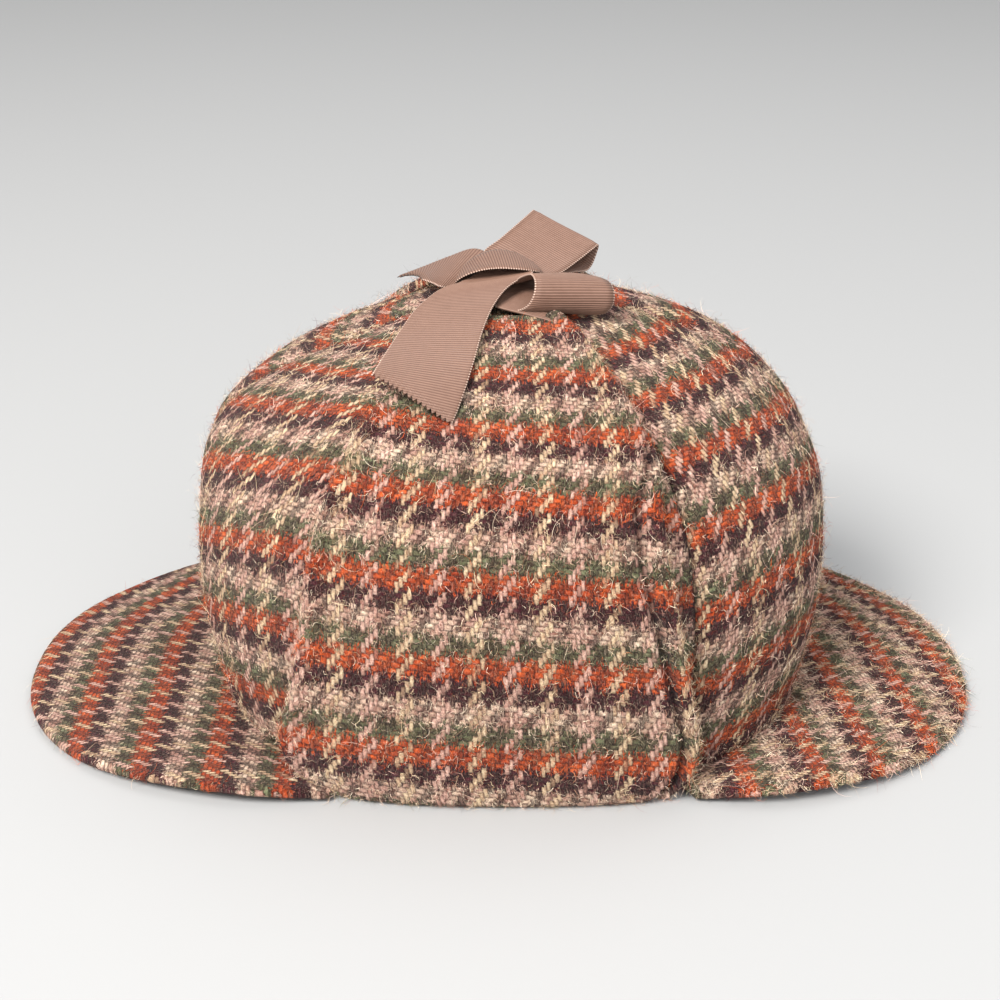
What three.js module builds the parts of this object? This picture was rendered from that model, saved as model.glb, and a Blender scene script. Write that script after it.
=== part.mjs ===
// A tweed deerstalker hat at rest on a table, its ear flaps folded up and tied with a ribbon bow.
// Millimetres. X runs along the hat from peak to peak, Y across it, Z up from the table.
// The origin is under the middle of the whole hat, on the table.
import * as THREE from "three";

// Cloth and clearances
const GAP = 0.3;
const TWEED = 2.5;
const FLAP_THICK = 3.6;
const PEAK_THICK = 4.2;
const RIBBON_THICK = 1;
const SEAM_CLEARANCE = 0.7 * GAP;

// The crown stands a little nearer to one peak than to the other.
const CROWN_X = 4.5;

// Crown: half length and half width at each height, from the base edge to the top
const CROWN_PROFILE = [
  { height: 4, halfLength: 101.5, halfWidth: 81 },
  { height: 20, halfLength: 104, halfWidth: 82.5 },
  { height: 42, halfLength: 106.5, halfWidth: 83.5 },
  { height: 64, halfLength: 106.5, halfWidth: 82.5 },
  { height: 84, halfLength: 103.5, halfWidth: 78.5 },
  { height: 100, halfLength: 96.5, halfWidth: 72 },
  { height: 113, halfLength: 85.5, halfWidth: 63.5 },
  { height: 124, halfLength: 71, halfWidth: 53 },
  { height: 133.5, halfLength: 53, halfWidth: 40 },
  { height: 141, halfLength: 34, halfWidth: 26 },
  { height: 146, halfLength: 16, halfWidth: 12.5 },
  { height: 148, halfLength: 0, halfWidth: 0 },
];
const APEX = CROWN_PROFILE[CROWN_PROFILE.length - 1].height;
const BASE_SIDE = 4.2;
const BASE_ENDS = 12;
const CROWN_SQUARENESS = 2.4;
const TOP_HOLE = 2;

// Seams between the six gores, as angles from the near side, and how deep and wide each seam dips
const SEAM_ANGLES = [-142, -90, -38, 38, 90, 142];
const SEAM_DIP = 1.6;
const SEAM_HALF_WIDTH = 5;

// Soft dents in the crown: centre, how far in they go and how far they reach. A minus sign is a swelling.
const DENTS = [
  { x: -52, y: 8, z: 134, depth: 4, reach: 24 },
  { x: -76, y: -40, z: 108, depth: 3.5, reach: 18 },
  { x: -98, y: 0, z: 100, depth: -2.5, reach: 18 },
  { x: 66, y: 12, z: 126, depth: -3, reach: 32 },
];

// Peaks: a long outline that both peaks and the flaps' lower edges follow
const PEAKS = [
  { name: "front_peak", side: -1, reach: 112 },
  { name: "back_peak", side: 1, reach: 103 },
];
const PEAK_CENTRE = 60;
const BRIM_HALF_WIDTH = 85;
const BRIM_SQUARENESS = 2.2;
const PEAK_END_ANGLE = 36;
const PEAK_TAPER_ANGLE = 12;
const PEAK_END_WIDTH = 0.55;
const PEAK_LIFT = 4.6;
const PEAK_ARCH = 1.2;

// Ear flaps: height of the middle of the cloth, how far it stands off the crown's face, its edges
// and how square its section is, from the root under the crown's edge to the tip
const FLAP_ROWS = [
  { height: 1.6, off: -2.4, left: -46, right: 44, square: 2.5 },
  { height: 1.6, off: -0.4, left: -46.5, right: 44, square: 2.6 },
  { height: 1.7, off: 1.4, left: -47, right: 44, square: 2.7 },
  { height: 3.4, off: 2.8, left: -50, right: 45, square: 2.8 },
  { height: 8, off: 3.2, left: -61, right: 52, square: 2.9 },
  { height: 14, off: 3.2, left: -70.5, right: 57.5, square: 3 },
  { height: 24, off: 3, left: -72.5, right: 58.5, square: 2.95 },
  { height: 40, off: 2.8, left: -68.5, right: 55.5, square: 2.8 },
  { height: 60, off: 2.7, left: -65, right: 51.5, square: 2.6 },
  { height: 80, off: 2.6, left: -62, right: 47.5, square: 2.5 },
  { height: 97, off: 2.5, left: -57.5, right: 45, square: 2.42 },
  { height: 111, off: 2.5, left: -50.5, right: 43.5, square: 2.4 },
  { height: 122, off: 2.5, left: -42, right: 37, square: 2.4 },
  { height: 131, off: 2.5, left: -32, right: 29, square: 2.4 },
  { height: 138, off: 2.5, left: -23, right: 22, square: 2.4 },
  { height: 142.5, off: 2.5, left: -13, right: 15, square: 2.4 },
];
const FLAP_EDGE_THIN = 0.35;

// How finely each kind of piece is faceted: columns across, rows along
const GORE_GRID = [9, 18];
const PEAK_GRID = [36, 6];
const FLAP_GRID = [12, 2 * (FLAP_ROWS.length - 1)];
const RIBBON_COLUMNS = 2;
const ROWS_PER_RIBBON_ROW = 3;

// Ribbon pieces. Each row is a point of the ribbon's middle line, its width there, and the way that
// width runs: swing turns it round from the X axis seen from above, lean raises its far end, in degrees.
// Inside the knot a ribbon is drawn together. A cut is how much shorter the second edge is than the
// first, as a share of the length.
const RIBBONS = [
  {
    name: "near_tie",
    cut: 0,
    rows: [
      { x: 5, y: -28, z: 145.6, width: 27, swing: -3, lean: 0 },
      { x: 3.5, y: -19, z: 149.1, width: 27, swing: -2, lean: 0 },
      { x: 1.5, y: -10, z: 149.5, width: 24, swing: 0, lean: 0 },
      { x: -2, y: -1, z: 149.1, width: 20, swing: 0, lean: 0 },
    ],
  },
  {
    name: "far_tie",
    cut: 0,
    rows: [
      { x: -2, y: 1, z: 149.1, width: 20, swing: 0, lean: 0 },
      { x: 1.5, y: 10, z: 149.5, width: 24, swing: 0, lean: 0 },
      { x: 3.5, y: 19, z: 149.1, width: 27, swing: 2, lean: 0 },
      { x: 5, y: 28, z: 145.6, width: 27, swing: 3, lean: 0 },
    ],
  },
  {
    name: "bow_knot",
    cut: 0,
    rows: [
      { x: -18.3, y: 0, z: 151.4, width: 15, swing: 92, lean: 0 },
      { x: -15.6, y: 0, z: 153.4, width: 16, swing: 92, lean: 0 },
      { x: -9.5, y: 0.5, z: 156, width: 16, swing: 90, lean: 0 },
      { x: -2.5, y: 1, z: 157, width: 16, swing: 88, lean: 0 },
      { x: 4.5, y: 1.5, z: 156.2, width: 16, swing: 86, lean: 0 },
      { x: 10.4, y: 2, z: 153.6, width: 15, swing: 84, lean: 0 },
      { x: 12.8, y: 2, z: 151.1, width: 14, swing: 84, lean: 0 },
    ],
  },
  {
    name: "bow_tail_near",
    cut: 0,
    rows: [
      { x: -4, y: -1.5, z: 154.1, width: 15, swing: 0, lean: 4 },
      { x: -5, y: -8.5, z: 153.8, width: 17, swing: -4, lean: 8 },
      { x: -11, y: -15, z: 151.8, width: 25, swing: -12, lean: 11 },
      { x: -18, y: -25, z: 148.4, width: 27, swing: -20, lean: 10 },
      { x: -23, y: -34, z: 144, width: 27, swing: -18, lean: 6 },
      { x: -26.5, y: -43, z: 138.8, width: 27, swing: -12, lean: -3 },
      { x: -31, y: -52.5, z: 131.2, width: 27, swing: -24, lean: -18 },
    ],
  },
  {
    name: "bow_loop_side",
    cut: 0,
    rows: [
      { x: 5, y: -1.5, z: 152.1, width: 8, swing: 0, lean: 0 },
      { x: 5.6, y: -7, z: 152.5, width: 8, swing: -2, lean: 2 },
      { x: 11.5, y: -12.5, z: 153.6, width: 17, swing: -6, lean: 3 },
      { x: 17, y: -17.5, z: 154.8, width: 24, swing: -8, lean: 3 },
      { x: 18.6, y: -23.5, z: 154, width: 26, swing: -9, lean: 3 },
      { x: 19, y: -27.4, z: 151, width: 26, swing: -9, lean: 3 },
      { x: 17.4, y: -26.4, z: 148.9, width: 26, swing: -8, lean: 2 },
      { x: 12, y: -20.5, z: 151.6, width: 22, swing: -6, lean: 0 },
      { x: 6, y: -13.5, z: 151.3, width: 15, swing: -4, lean: 0 },
      { x: 3, y: -7, z: 150.8, width: 10, swing: 0, lean: 0 },
      { x: 2, y: -1.5, z: 150.6, width: 9, swing: 0, lean: 0 },
    ],
  },
  {
    name: "bow_loop_upper",
    cut: 0,
    rows: [
      { x: 0.7, y: 1.5, z: 153.9, width: 12, swing: -4, lean: 0 },
      { x: 0.5, y: 11, z: 154.6, width: 10, swing: -6, lean: -3 },
      { x: 6, y: 14.6, z: 156.4, width: 21, swing: -26, lean: -9 },
      { x: 11.5, y: 17.5, z: 158.4, width: 27, swing: -34, lean: -13 },
      { x: 17.5, y: 23, z: 160.6, width: 27, swing: -36, lean: -14 },
      { x: 18.4, y: 24.4, z: 159.2, width: 27, swing: -36, lean: -14 },
      { x: 16, y: 21.5, z: 156.2, width: 27, swing: -36, lean: -14 },
      { x: 10, y: 16.5, z: 154.2, width: 22, swing: -30, lean: -8 },
      { x: 3.5, y: 10, z: 152.6, width: 11, swing: -12, lean: -2 },
      { x: 2, y: 1.5, z: 152.3, width: 8, swing: -4, lean: 0 },
    ],
  },
  {
    name: "bow_tail_far",
    cut: 0.6,
    rows: [
      { x: -5.5, y: 2, z: 150.6, width: 7, swing: 40, lean: 0 },
      { x: -10, y: 10.5, z: 151, width: 10, swing: 56, lean: 4 },
      { x: -20, y: 9, z: 150, width: 20, swing: 75, lean: 11 },
      { x: -27, y: 10, z: 150.6, width: 26, swing: 84, lean: 7 },
      { x: -37, y: 11.5, z: 150, width: 27, swing: 88, lean: 3 },
    ],
  },
];

// Rounded values between the rows of a table, with one column as the key
function valueAt(table, key, at, column) {
  const last = table.length - 1;
  let i = 0;
  while (i < last - 1 && table[i + 1][key] < at) i += 1;
  const p0 = table[Math.max(i - 1, 0)];
  const p1 = table[i];
  const p2 = table[i + 1];
  const p3 = table[Math.min(i + 2, last)];
  const t = THREE.MathUtils.clamp((at - p1[key]) / (p2[key] - p1[key]), 0, 1);
  const slope = (a, b) => (b[key] > a[key] ? (b[column] - a[column]) / (b[key] - a[key]) : 0);
  const span = p2[key] - p1[key];
  const m1 = slope(p0, p2) * span;
  const m2 = slope(p1, p3) * span;
  const t2 = t * t;
  const t3 = t2 * t;
  return (
    (2 * t3 - 3 * t2 + 1) * p1[column] + (t3 - 2 * t2 + t) * m1 + (3 * t2 - 2 * t3) * p2[column] + (t3 - t2) * m2
  );
}

// A smooth curve through the crown's profile: x is the half length, y the half width, z the height.
const profileCurve = new THREE.CatmullRomCurve3(
  CROWN_PROFILE.map((row) => new THREE.Vector3(row.halfLength, row.halfWidth, row.height)),
);
profileCurve.arcLengthDivisions = 400;

const radians = THREE.MathUtils.degToRad;

// Height of the crown's base edge: low at the flaps, higher over the peaks
function baseHeight(angle) {
  return BASE_SIDE + (BASE_ENDS - BASE_SIDE) * Math.abs(Math.sin(angle)) ** 3;
}

// Distance from the middle to a squared oval, in a direction measured from the near side
function ovalRadius(angle, halfLength, halfWidth, square) {
  const s = Math.abs(Math.sin(angle)) / halfLength;
  const c = Math.abs(Math.cos(angle)) / halfWidth;
  return (s ** square + c ** square) ** (-1 / square);
}

// The crown's smooth face at an angle and a share of the way up its profile
function crownFace(angle, share) {
  const p = profileCurve.getPointAt(THREE.MathUtils.clamp(share, 0, 1));
  const r = ovalRadius(angle, Math.max(p.x, 1e-3), Math.max(p.y, 1e-3), CROWN_SQUARENESS);
  const foot = baseHeight(angle);
  const rise = (p.z - CROWN_PROFILE[0].height) / (APEX - CROWN_PROFILE[0].height);
  return new THREE.Vector3(r * Math.sin(angle), -r * Math.cos(angle), foot + rise * (APEX - foot));
}

// The outward direction of a face given as a function of two numbers
function faceNormal(face, a, b, stepA, stepB) {
  const along = face(a + stepA, b).sub(face(a - stepA, b));
  const up = face(a, b + stepB).sub(face(a, b - stepB));
  return along.cross(up).normalize();
}

// How far the cloth is drawn in by dents near a point
function dentDepth(point) {
  let depth = 0;
  for (const dent of DENTS) {
    const d = point.distanceTo(new THREE.Vector3(dent.x, dent.y, dent.z));
    depth += dent.depth * Math.exp(-((d / dent.reach) ** 2));
  }
  return depth;
}

// How far the cloth is drawn in by the nearest seam
function seamDepth(angle, share) {
  let depth = 0;
  for (const degrees of SEAM_ANGLES) {
    const seam = crownFace(radians(degrees), share);
    const d = seam.distanceTo(crownFace(angle, share));
    depth = Math.max(depth, SEAM_DIP * Math.exp(-((d / SEAM_HALF_WIDTH) ** 2)));
  }
  return depth;
}

// A point of the crown's cloth, some way out from its smooth face
function crownCloth(angle, share, out) {
  const point = crownFace(angle, share);
  const safe = THREE.MathUtils.clamp(share, 0.002, 0.975);
  const normal = faceNormal(crownFace, angle, safe, 0.01, 0.002);
  const drawnIn = dentDepth(point) + seamDepth(angle, share);
  return point.addScaledVector(normal, out - drawnIn);
}

// A closed solid between an outer and an inner grid of points, each given by column and row
function sheetSolid(columns, rows, outer, inner) {
  const positions = [];
  const index = [];
  const across = columns + 1;
  const count = across * (rows + 1);
  for (const side of [outer, inner]) {
    for (let j = 0; j <= rows; j += 1) {
      for (let i = 0; i <= columns; i += 1) {
        positions.push(...side(i / columns, j / rows).toArray());
      }
    }
  }
  const quad = (a, b, c, d) => index.push(a, b, c, a, c, d);
  const at = (i, j) => j * across + i;
  for (let j = 0; j < rows; j += 1) {
    for (let i = 0; i < columns; i += 1) {
      quad(at(i, j), at(i + 1, j), at(i + 1, j + 1), at(i, j + 1));
      quad(count + at(i, j), count + at(i, j + 1), count + at(i + 1, j + 1), count + at(i + 1, j));
    }
  }
  for (let i = 0; i < columns; i += 1) {
    quad(count + at(i, 0), count + at(i + 1, 0), at(i + 1, 0), at(i, 0));
    quad(at(i, rows), at(i + 1, rows), count + at(i + 1, rows), count + at(i, rows));
  }
  for (let j = 0; j < rows; j += 1) {
    quad(at(0, j), at(0, j + 1), count + at(0, j + 1), count + at(0, j));
    quad(count + at(columns, j), count + at(columns, j + 1), at(columns, j + 1), at(columns, j));
  }
  const geometry = new THREE.BufferGeometry();
  geometry.setAttribute("position", new THREE.Float32BufferAttribute(positions, 3));
  geometry.setIndex(index);
  return geometry;
}

// One gore of the crown, from one seam to the next
function goreGeometry(fromDegrees, toDegrees) {
  const from = radians(fromDegrees);
  const to = radians(toDegrees);
  const topShare = 1 - TOP_HOLE / profileCurve.getLength();
  const point = (u, v, out) => {
    const share = v * topShare;
    const reach = crownFace((from + to) / 2, share);
    const slack = SEAM_CLEARANCE / Math.max(Math.hypot(reach.x, reach.y), 3 * GAP);
    const angle = THREE.MathUtils.lerp(from + slack, to - slack, u);
    return crownCloth(angle, share, out);
  };
  return sheetSolid(
    ...GORE_GRID,
    (u, v) => point(u, v, 0),
    (u, v) => point(u, v, -TWEED),
  );
}

// How far the brim's outline lies from the crown's middle in a direction
function brimRadius(angle, reach) {
  const inside = (r) => {
    const x = Math.max(Math.abs(r * Math.sin(angle)) - PEAK_CENTRE, 0) / reach;
    const y = Math.abs(r * Math.cos(angle)) / BRIM_HALF_WIDTH;
    return x ** BRIM_SQUARENESS + y ** BRIM_SQUARENESS < 1;
  };
  let near = 0;
  let far = 2 * (PEAK_CENTRE + reach);
  for (let i = 0; i < 40; i += 1) {
    const middle = (near + far) / 2;
    if (inside(middle)) near = middle;
    else far = middle;
  }
  return near;
}

// A padded peak, from under the crown's base edge out to the brim's edge, tapering at both ends
function peakGeometry(peak) {
  const end = radians(PEAK_END_ANGLE);
  const taper = radians(PEAK_TAPER_ANGLE);
  const foot = CROWN_PROFILE[0];
  const middle = (u, v) => {
    const turn = THREE.MathUtils.lerp(end, Math.PI - end, u);
    const angle = peak.side * turn;
    const inner = ovalRadius(angle, foot.halfLength, foot.halfWidth, CROWN_SQUARENESS) - TWEED;
    const fromEnd = Math.min(turn - end, Math.PI - end - turn) / taper;
    const full = Math.sin((Math.min(fromEnd, 1) * Math.PI) / 2);
    const width = (brimRadius(angle, peak.reach) - inner) * THREE.MathUtils.lerp(PEAK_END_WIDTH, 1, full);
    const r = inner + width * v;
    const across = Math.abs(Math.sin(turn));
    const lift = PEAK_LIFT * Math.sin(Math.min(fromEnd * 0.35, 1) * Math.PI) * (1 - across ** 6);
    const innerHeight = baseHeight(angle) - 2 * GAP - PEAK_THICK / 2;
    const outerHeight = PEAK_THICK / 2 + lift;
    const height = THREE.MathUtils.lerp(innerHeight, outerHeight, v) + PEAK_ARCH * Math.sin(v * Math.PI) * across;
    return new THREE.Vector3(r * Math.sin(angle), -r * Math.cos(angle), height);
  };
  const halfThickness = (v) => (PEAK_THICK / 2) * Math.sqrt(Math.max(1 - v ** 14, 0.12));
  const face = (u, v, way) => middle(u, v).add(new THREE.Vector3(0, 0, way * halfThickness(v)));
  const turn = (u) => (peak.side > 0 ? u : 1 - u);
  return sheetSolid(
    ...PEAK_GRID,
    (u, v) => face(turn(u), v ** 0.8, -1),
    (u, v) => face(turn(u), v ** 0.8, 1),
  );
}

// A point of a squared oval that follows the crown at a height, at a place along the hat
function sidePoint(x, height, square) {
  const key = Math.max(height, CROWN_PROFILE[0].height);
  const halfLength = valueAt(CROWN_PROFILE, "height", key, "halfLength");
  const halfWidth = valueAt(CROWN_PROFILE, "height", key, "halfWidth");
  const share = Math.min(Math.abs(x) / halfLength, 0.97);
  return new THREE.Vector3(x, -halfWidth * (1 - share ** square) ** (1 / square), height);
}

// The middle of an ear flap's cloth: u runs from its left edge to its right, v from root to tip
function flapMiddle(u, v) {
  const rows = FLAP_ROWS.map((row, i) => ({ ...row, place: i / (FLAP_ROWS.length - 1) }));
  const column = (name) => valueAt(rows, "place", v, name);
  const x = THREE.MathUtils.lerp(column("left"), column("right"), u);
  const square = column("square");
  const height = column("height");
  const point = sidePoint(x, height, square);
  const key = Math.max(height, CROWN_PROFILE[0].height + 2);
  const normal = faceNormal((a, b) => sidePoint(a, b, square), x, key, 0.5, 1);
  return point.addScaledVector(normal, column("off"));
}

// An ear flap: doubled cloth that turns out from under the crown's edge and lies up its side,
// flat where it rests on the table
function flapGeometry() {
  const cloth = (u, v, way) => {
    const inU = THREE.MathUtils.clamp(u, 0.02, 0.98);
    const inV = THREE.MathUtils.clamp(v, 0.01, 0.99);
    const normal = faceNormal(flapMiddle, inU, inV, 0.02, 0.01);
    const edge = Math.max(Math.abs(2 * u - 1) ** 10, v ** 30);
    const half = (FLAP_THICK / 2) * (1 - FLAP_EDGE_THIN * edge);
    const point = flapMiddle(u, v).addScaledVector(normal, way * half);
    point.z = Math.max(point.z, 0);
    return point;
  };
  return sheetSolid(
    ...FLAP_GRID,
    (u, v) => cloth(u, v, 1),
    (u, v) => cloth(u, v, -1),
  );
}

// The same solid on the other side of the hat
function mirrored(geometry) {
  const copy = geometry.clone();
  const position = copy.attributes.position;
  for (let i = 0; i < position.count; i += 1) position.setY(i, -position.getY(i));
  const index = Array.from(copy.index.array);
  for (let i = 0; i < index.length; i += 3) index.splice(i, 3, index[i], index[i + 2], index[i + 1]);
  copy.setIndex(index);
  return copy;
}

// A ribbon along its middle line, as wide and thick as it says
function ribbonGeometry(ribbon) {
  const line = new THREE.CatmullRomCurve3(ribbon.rows.map((row) => new THREE.Vector3(row.x, row.y, row.z)));
  const rows = ribbon.rows.map((row, i) => ({ ...row, place: i / (ribbon.rows.length - 1) }));
  const acrossAt = (v) => {
    const swing = radians(valueAt(rows, "place", v, "swing"));
    const lean = radians(valueAt(rows, "place", v, "lean"));
    return new THREE.Vector3(Math.cos(lean) * Math.cos(swing), Math.cos(lean) * Math.sin(swing), Math.sin(lean));
  };
  const face = (u, v, way) => {
    const place = v * (1 - ribbon.cut * u);
    const across = acrossAt(place);
    const normal = line.getTangent(place).cross(across).normalize();
    const width = valueAt(rows, "place", place, "width");
    const point = line.getPoint(place).addScaledVector(across, (u - 0.5) * width);
    return point.addScaledVector(normal, (way * RIBBON_THICK) / 2);
  };
  return sheetSolid(
    RIBBON_COLUMNS,
    ROWS_PER_RIBBON_ROW * (ribbon.rows.length - 1),
    (u, v) => face(u, v, -1),
    (u, v) => face(u, v, 1),
  );
}

const group = new THREE.Group();
group.position.x = CROWN_X;

const tweed = new THREE.MeshStandardMaterial({ color: 0x8f6b56, roughness: 0.95, metalness: 0 });
const grosgrain = new THREE.MeshStandardMaterial({ color: 0xb2907e, roughness: 0.7, metalness: 0 });

function addPiece(name, geometry, material) {
  const mesh = new THREE.Mesh(geometry, material);
  mesh.name = name;
  group.add(mesh);
  return mesh;
}

SEAM_ANGLES.forEach((from, i) => {
  const to = i + 1 < SEAM_ANGLES.length ? SEAM_ANGLES[i + 1] : SEAM_ANGLES[0] + 360;
  addPiece(`crown_gore_${i + 1}`, goreGeometry(from, to), tweed);
});
for (const peak of PEAKS) addPiece(peak.name, peakGeometry(peak), tweed);
addPiece("near_ear_flap", flapGeometry(), tweed);
addPiece("far_ear_flap", mirrored(flapGeometry()), tweed);
for (const ribbon of RIBBONS) addPiece(ribbon.name, ribbonGeometry(ribbon), grosgrain);

export default group;
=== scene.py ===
# %% [markdown]
# A tweed deerstalker hat lies on a table. It has a crown of six gores, a peak at each end, and an ear
# flap folded up each side. The flaps are held together over the crown by a ribbon tied in a bow.
# The plain solids of all these pieces are already there, in one frame: metres, X along the hat,
# Y across it and Z up. Here each of them gets real cloth: a finer shape, a woven check and loose wool.
# First we load those solids and keep the size of their box, to compare with at the end.

# %% Load the plain solids
import math
import bpy
import numpy as np
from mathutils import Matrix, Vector
from mathutils.kdtree import KDTree


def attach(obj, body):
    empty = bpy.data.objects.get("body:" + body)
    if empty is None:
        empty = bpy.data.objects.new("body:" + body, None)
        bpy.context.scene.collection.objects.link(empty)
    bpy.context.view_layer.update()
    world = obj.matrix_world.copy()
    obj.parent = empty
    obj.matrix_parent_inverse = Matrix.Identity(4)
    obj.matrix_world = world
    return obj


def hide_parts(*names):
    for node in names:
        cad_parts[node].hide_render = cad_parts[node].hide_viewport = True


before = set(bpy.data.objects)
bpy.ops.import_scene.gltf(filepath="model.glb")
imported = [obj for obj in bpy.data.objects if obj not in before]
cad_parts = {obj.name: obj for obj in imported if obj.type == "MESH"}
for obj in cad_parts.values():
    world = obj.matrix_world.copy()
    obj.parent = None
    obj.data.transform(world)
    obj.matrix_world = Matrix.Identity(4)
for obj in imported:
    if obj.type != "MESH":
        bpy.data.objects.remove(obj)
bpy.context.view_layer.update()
print("pieces to dress:", sorted(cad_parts))

# %% [markdown]
# The photograph looks along the hat's side from a little above. A long lens from far away and a short
# one from near by show different shapes, so the distance matters as much as the angle. 600 mm and
# 26 degrees above the table put the brim, crown and bow where the photograph has them.

# %% Place the camera
MM = 0.001
LOOK_AT = np.array([0.68, 0.0, 69.0])
CAMERA_DISTANCE = 600
CAMERA_ELEVATION = math.radians(26)
# The focal length over the width of the film
LENS_PER_FRAME = 1.728
NEAREST_SEEN = 10

towards_camera = np.array([0, -math.cos(CAMERA_ELEVATION), math.sin(CAMERA_ELEVATION)])
camera_data = bpy.data.cameras.new("table_view")
camera_data.lens = camera_data.sensor_width * LENS_PER_FRAME
camera_data.clip_start = NEAREST_SEEN * MM
camera = bpy.data.objects.new("table_view", camera_data)
camera.location = MM * (LOOK_AT + CAMERA_DISTANCE * towards_camera)
camera.rotation_euler = (math.pi / 2 - CAMERA_ELEVATION, 0, 0)
bpy.context.scene.collection.objects.link(camera)
bpy.context.scene.camera = camera
print("camera at", [round(x, 3) for x in camera.location])

# %% [markdown]
# A hat is cut from a few paper patterns, so its shape fits in short tables: how long and wide the crown
# is at each height, where the seams run, and where the flap's edges lie. All lengths are millimetres,
# measured from the middle of the crown.

# %% The crown's tables
# How far the crown's middle lies from the middle of the frame, and how thick the cloth is
CROWN_X = 4.5
TWEED = 2.5
# height, half length, half width
CROWN_PROFILE = np.array([
    [4, 101.5, 81], [20, 104, 82.5], [42, 106.5, 83.5], [64, 106.5, 82.5], [84, 103.5, 78.5],
    [100, 96.5, 72], [113, 85.5, 63.5], [124, 71, 53], [133.5, 53, 40], [141, 34, 26],
    [146, 16, 12.5], [148, 0, 0],
])
BASE_HEIGHT, APEX = CROWN_PROFILE[0, 0], CROWN_PROFILE[-1, 0]
# How high the crown's lower edge stands at the sides and at the ends
BASE_SIDE, BASE_ENDS = 4.2, 12.0
# 2 would be an ellipse, and more is squarer
CROWN_SQUARENESS = 2.4
# Degrees round the crown, from the side that the camera sees
SEAM_ANGLES = [-142, -90, -38, 38, 90, 142]
SEAM_DIP, SEAM_HALF_WIDTH = 1.6, 5.0
# x, y, z, depth and reach of each soft dent, where a minus depth is a swelling
DENTS = [(-52, 8, 134, 4, 24), (-76, -40, 108, 3.5, 18), (-98, 0, 100, -2.5, 18), (66, 12, 126, -3, 32)]
print("crown", 2 * CROWN_PROFILE[:, 1].max(), "by", 2 * CROWN_PROFILE[:, 2].max(), "mm,", APEX, "mm tall")

# %% [markdown]
# The ear flap is widest just above the fold and narrows to its tip. Its table says, from the root under
# the crown up to the tip, how far it stands off the crown and where its two edges run. The last number
# says how square the flap's own bend round the crown is.

# %% The flap's table
FLAP_THICK = 3.6
# height, distance off the crown, left edge, right edge, squareness, from the root up to the tip
FLAP_ROWS = np.array([
    [1.6, -2.4, -50, 48, 2.5], [1.6, -0.4, -51, 48.5, 2.6], [1.7, 1.4, -52.5, 49.5, 2.7],
    [3.4, 2.8, -57, 51.5, 2.8], [8, 3.2, -65, 55, 2.9], [14, 3.2, -70.5, 57.5, 3],
    [24, 3, -72.5, 58.5, 2.95], [40, 2.8, -68.5, 55.5, 2.8], [60, 2.7, -65, 51.5, 2.6],
    [80, 2.6, -62, 47.5, 2.5], [97, 2.5, -57.5, 45, 2.42], [111, 2.5, -50.5, 43.5, 2.4],
    [122, 2.5, -42, 37, 2.4], [131, 2.5, -32, 29, 2.4], [138, 2.5, -23, 22, 2.4],
    [142.5, 2.5, -13, 15, 2.4],
])
FLAP_PLACES = np.linspace(0, 1, len(FLAP_ROWS))
print("flap", round(FLAP_ROWS[:, 3].max() - FLAP_ROWS[:, 2].min()), "mm wide at its widest")

# %% [markdown]
# Cloth has no corners between one table row and the next, so every value is read through a smooth
# curve. One kind of curve is for a column of numbers, and one for points in space. Two more helpers
# give the direction of a vector, and the way that a surface faces.

# %% Smooth numbers and smooth lines
def smooth_value(keys, values, at):
    """The height of a smooth curve through the points (keys, values)."""
    last = len(keys) - 1
    at = np.asarray(at, float)
    i = np.clip(np.searchsorted(keys, at) - 1, 0, last - 1)
    before, after = np.maximum(i - 1, 0), np.minimum(i + 2, last)
    span = keys[i + 1] - keys[i]
    share = np.clip((at - keys[i]) / span, 0, 1)
    steep_in = (values[i + 1] - values[before]) / (keys[i + 1] - keys[before]) * span
    steep_out = (values[after] - values[i]) / (keys[after] - keys[i]) * span
    return (
        (2 * share**3 - 3 * share**2 + 1) * values[i]
        + (share**3 - 2 * share**2 + share) * steep_in
        + (3 * share**2 - 2 * share**3) * values[i + 1]
        + (share**3 - share**2) * steep_out
    )


def smooth_line(points, at):
    """A place on a smooth line through all the points, where at runs from 0 to 1 along them."""
    points = np.asarray(points, float)
    padded = np.vstack([2 * points[0] - points[1], points, 2 * points[-1] - points[-2]])
    place = np.clip(np.atleast_1d(at), 0, 1) * (len(points) - 1)
    i = np.minimum(place.astype(int), len(points) - 2)
    t = (place - i)[:, None]
    p0, p1, p2, p3 = (padded[i + k] for k in range(4))
    d0, d1, d2 = (np.sqrt(np.linalg.norm(b - a, axis=1))[:, None] for a, b in ((p0, p1), (p1, p2), (p2, p3)))
    way_in = ((p1 - p0) / d0 - (p2 - p0) / (d0 + d1) + (p2 - p1) / d1) * d1
    way_out = ((p2 - p1) / d1 - (p3 - p1) / (d1 + d2) + (p3 - p2) / d2) * d1
    return (
        (2 * t**3 - 3 * t**2 + 1) * p1
        + (t**3 - 2 * t**2 + t) * way_in
        + (3 * t**2 - 2 * t**3) * p2
        + (t**3 - t**2) * way_out
    )


def unit(vectors):
    return vectors / np.maximum(np.linalg.norm(vectors, axis=-1, keepdims=True), 1e-12)


def facing(surface, a, b, step_a, step_b):
    """The way a surface faces at (a, b), from its slopes in both directions."""
    along = surface(a + step_a, b) - surface(a - step_a, b)
    up = surface(a, b + step_b) - surface(a, b - step_b)
    return unit(np.cross(along, up))


print("half width at 50 mm up:", round(float(smooth_value(CROWN_PROFILE[:, 0], CROWN_PROFILE[:, 2], 50)), 1))

# %% [markdown]
# Every gore lies on one face: a squared oval at each height, drawn in along the seams and at a few soft
# dents. A point of it is named by its direction round the crown and by its share of the way up.

# %% Points of the crown
PROFILE_SAMPLES = 4001
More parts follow.
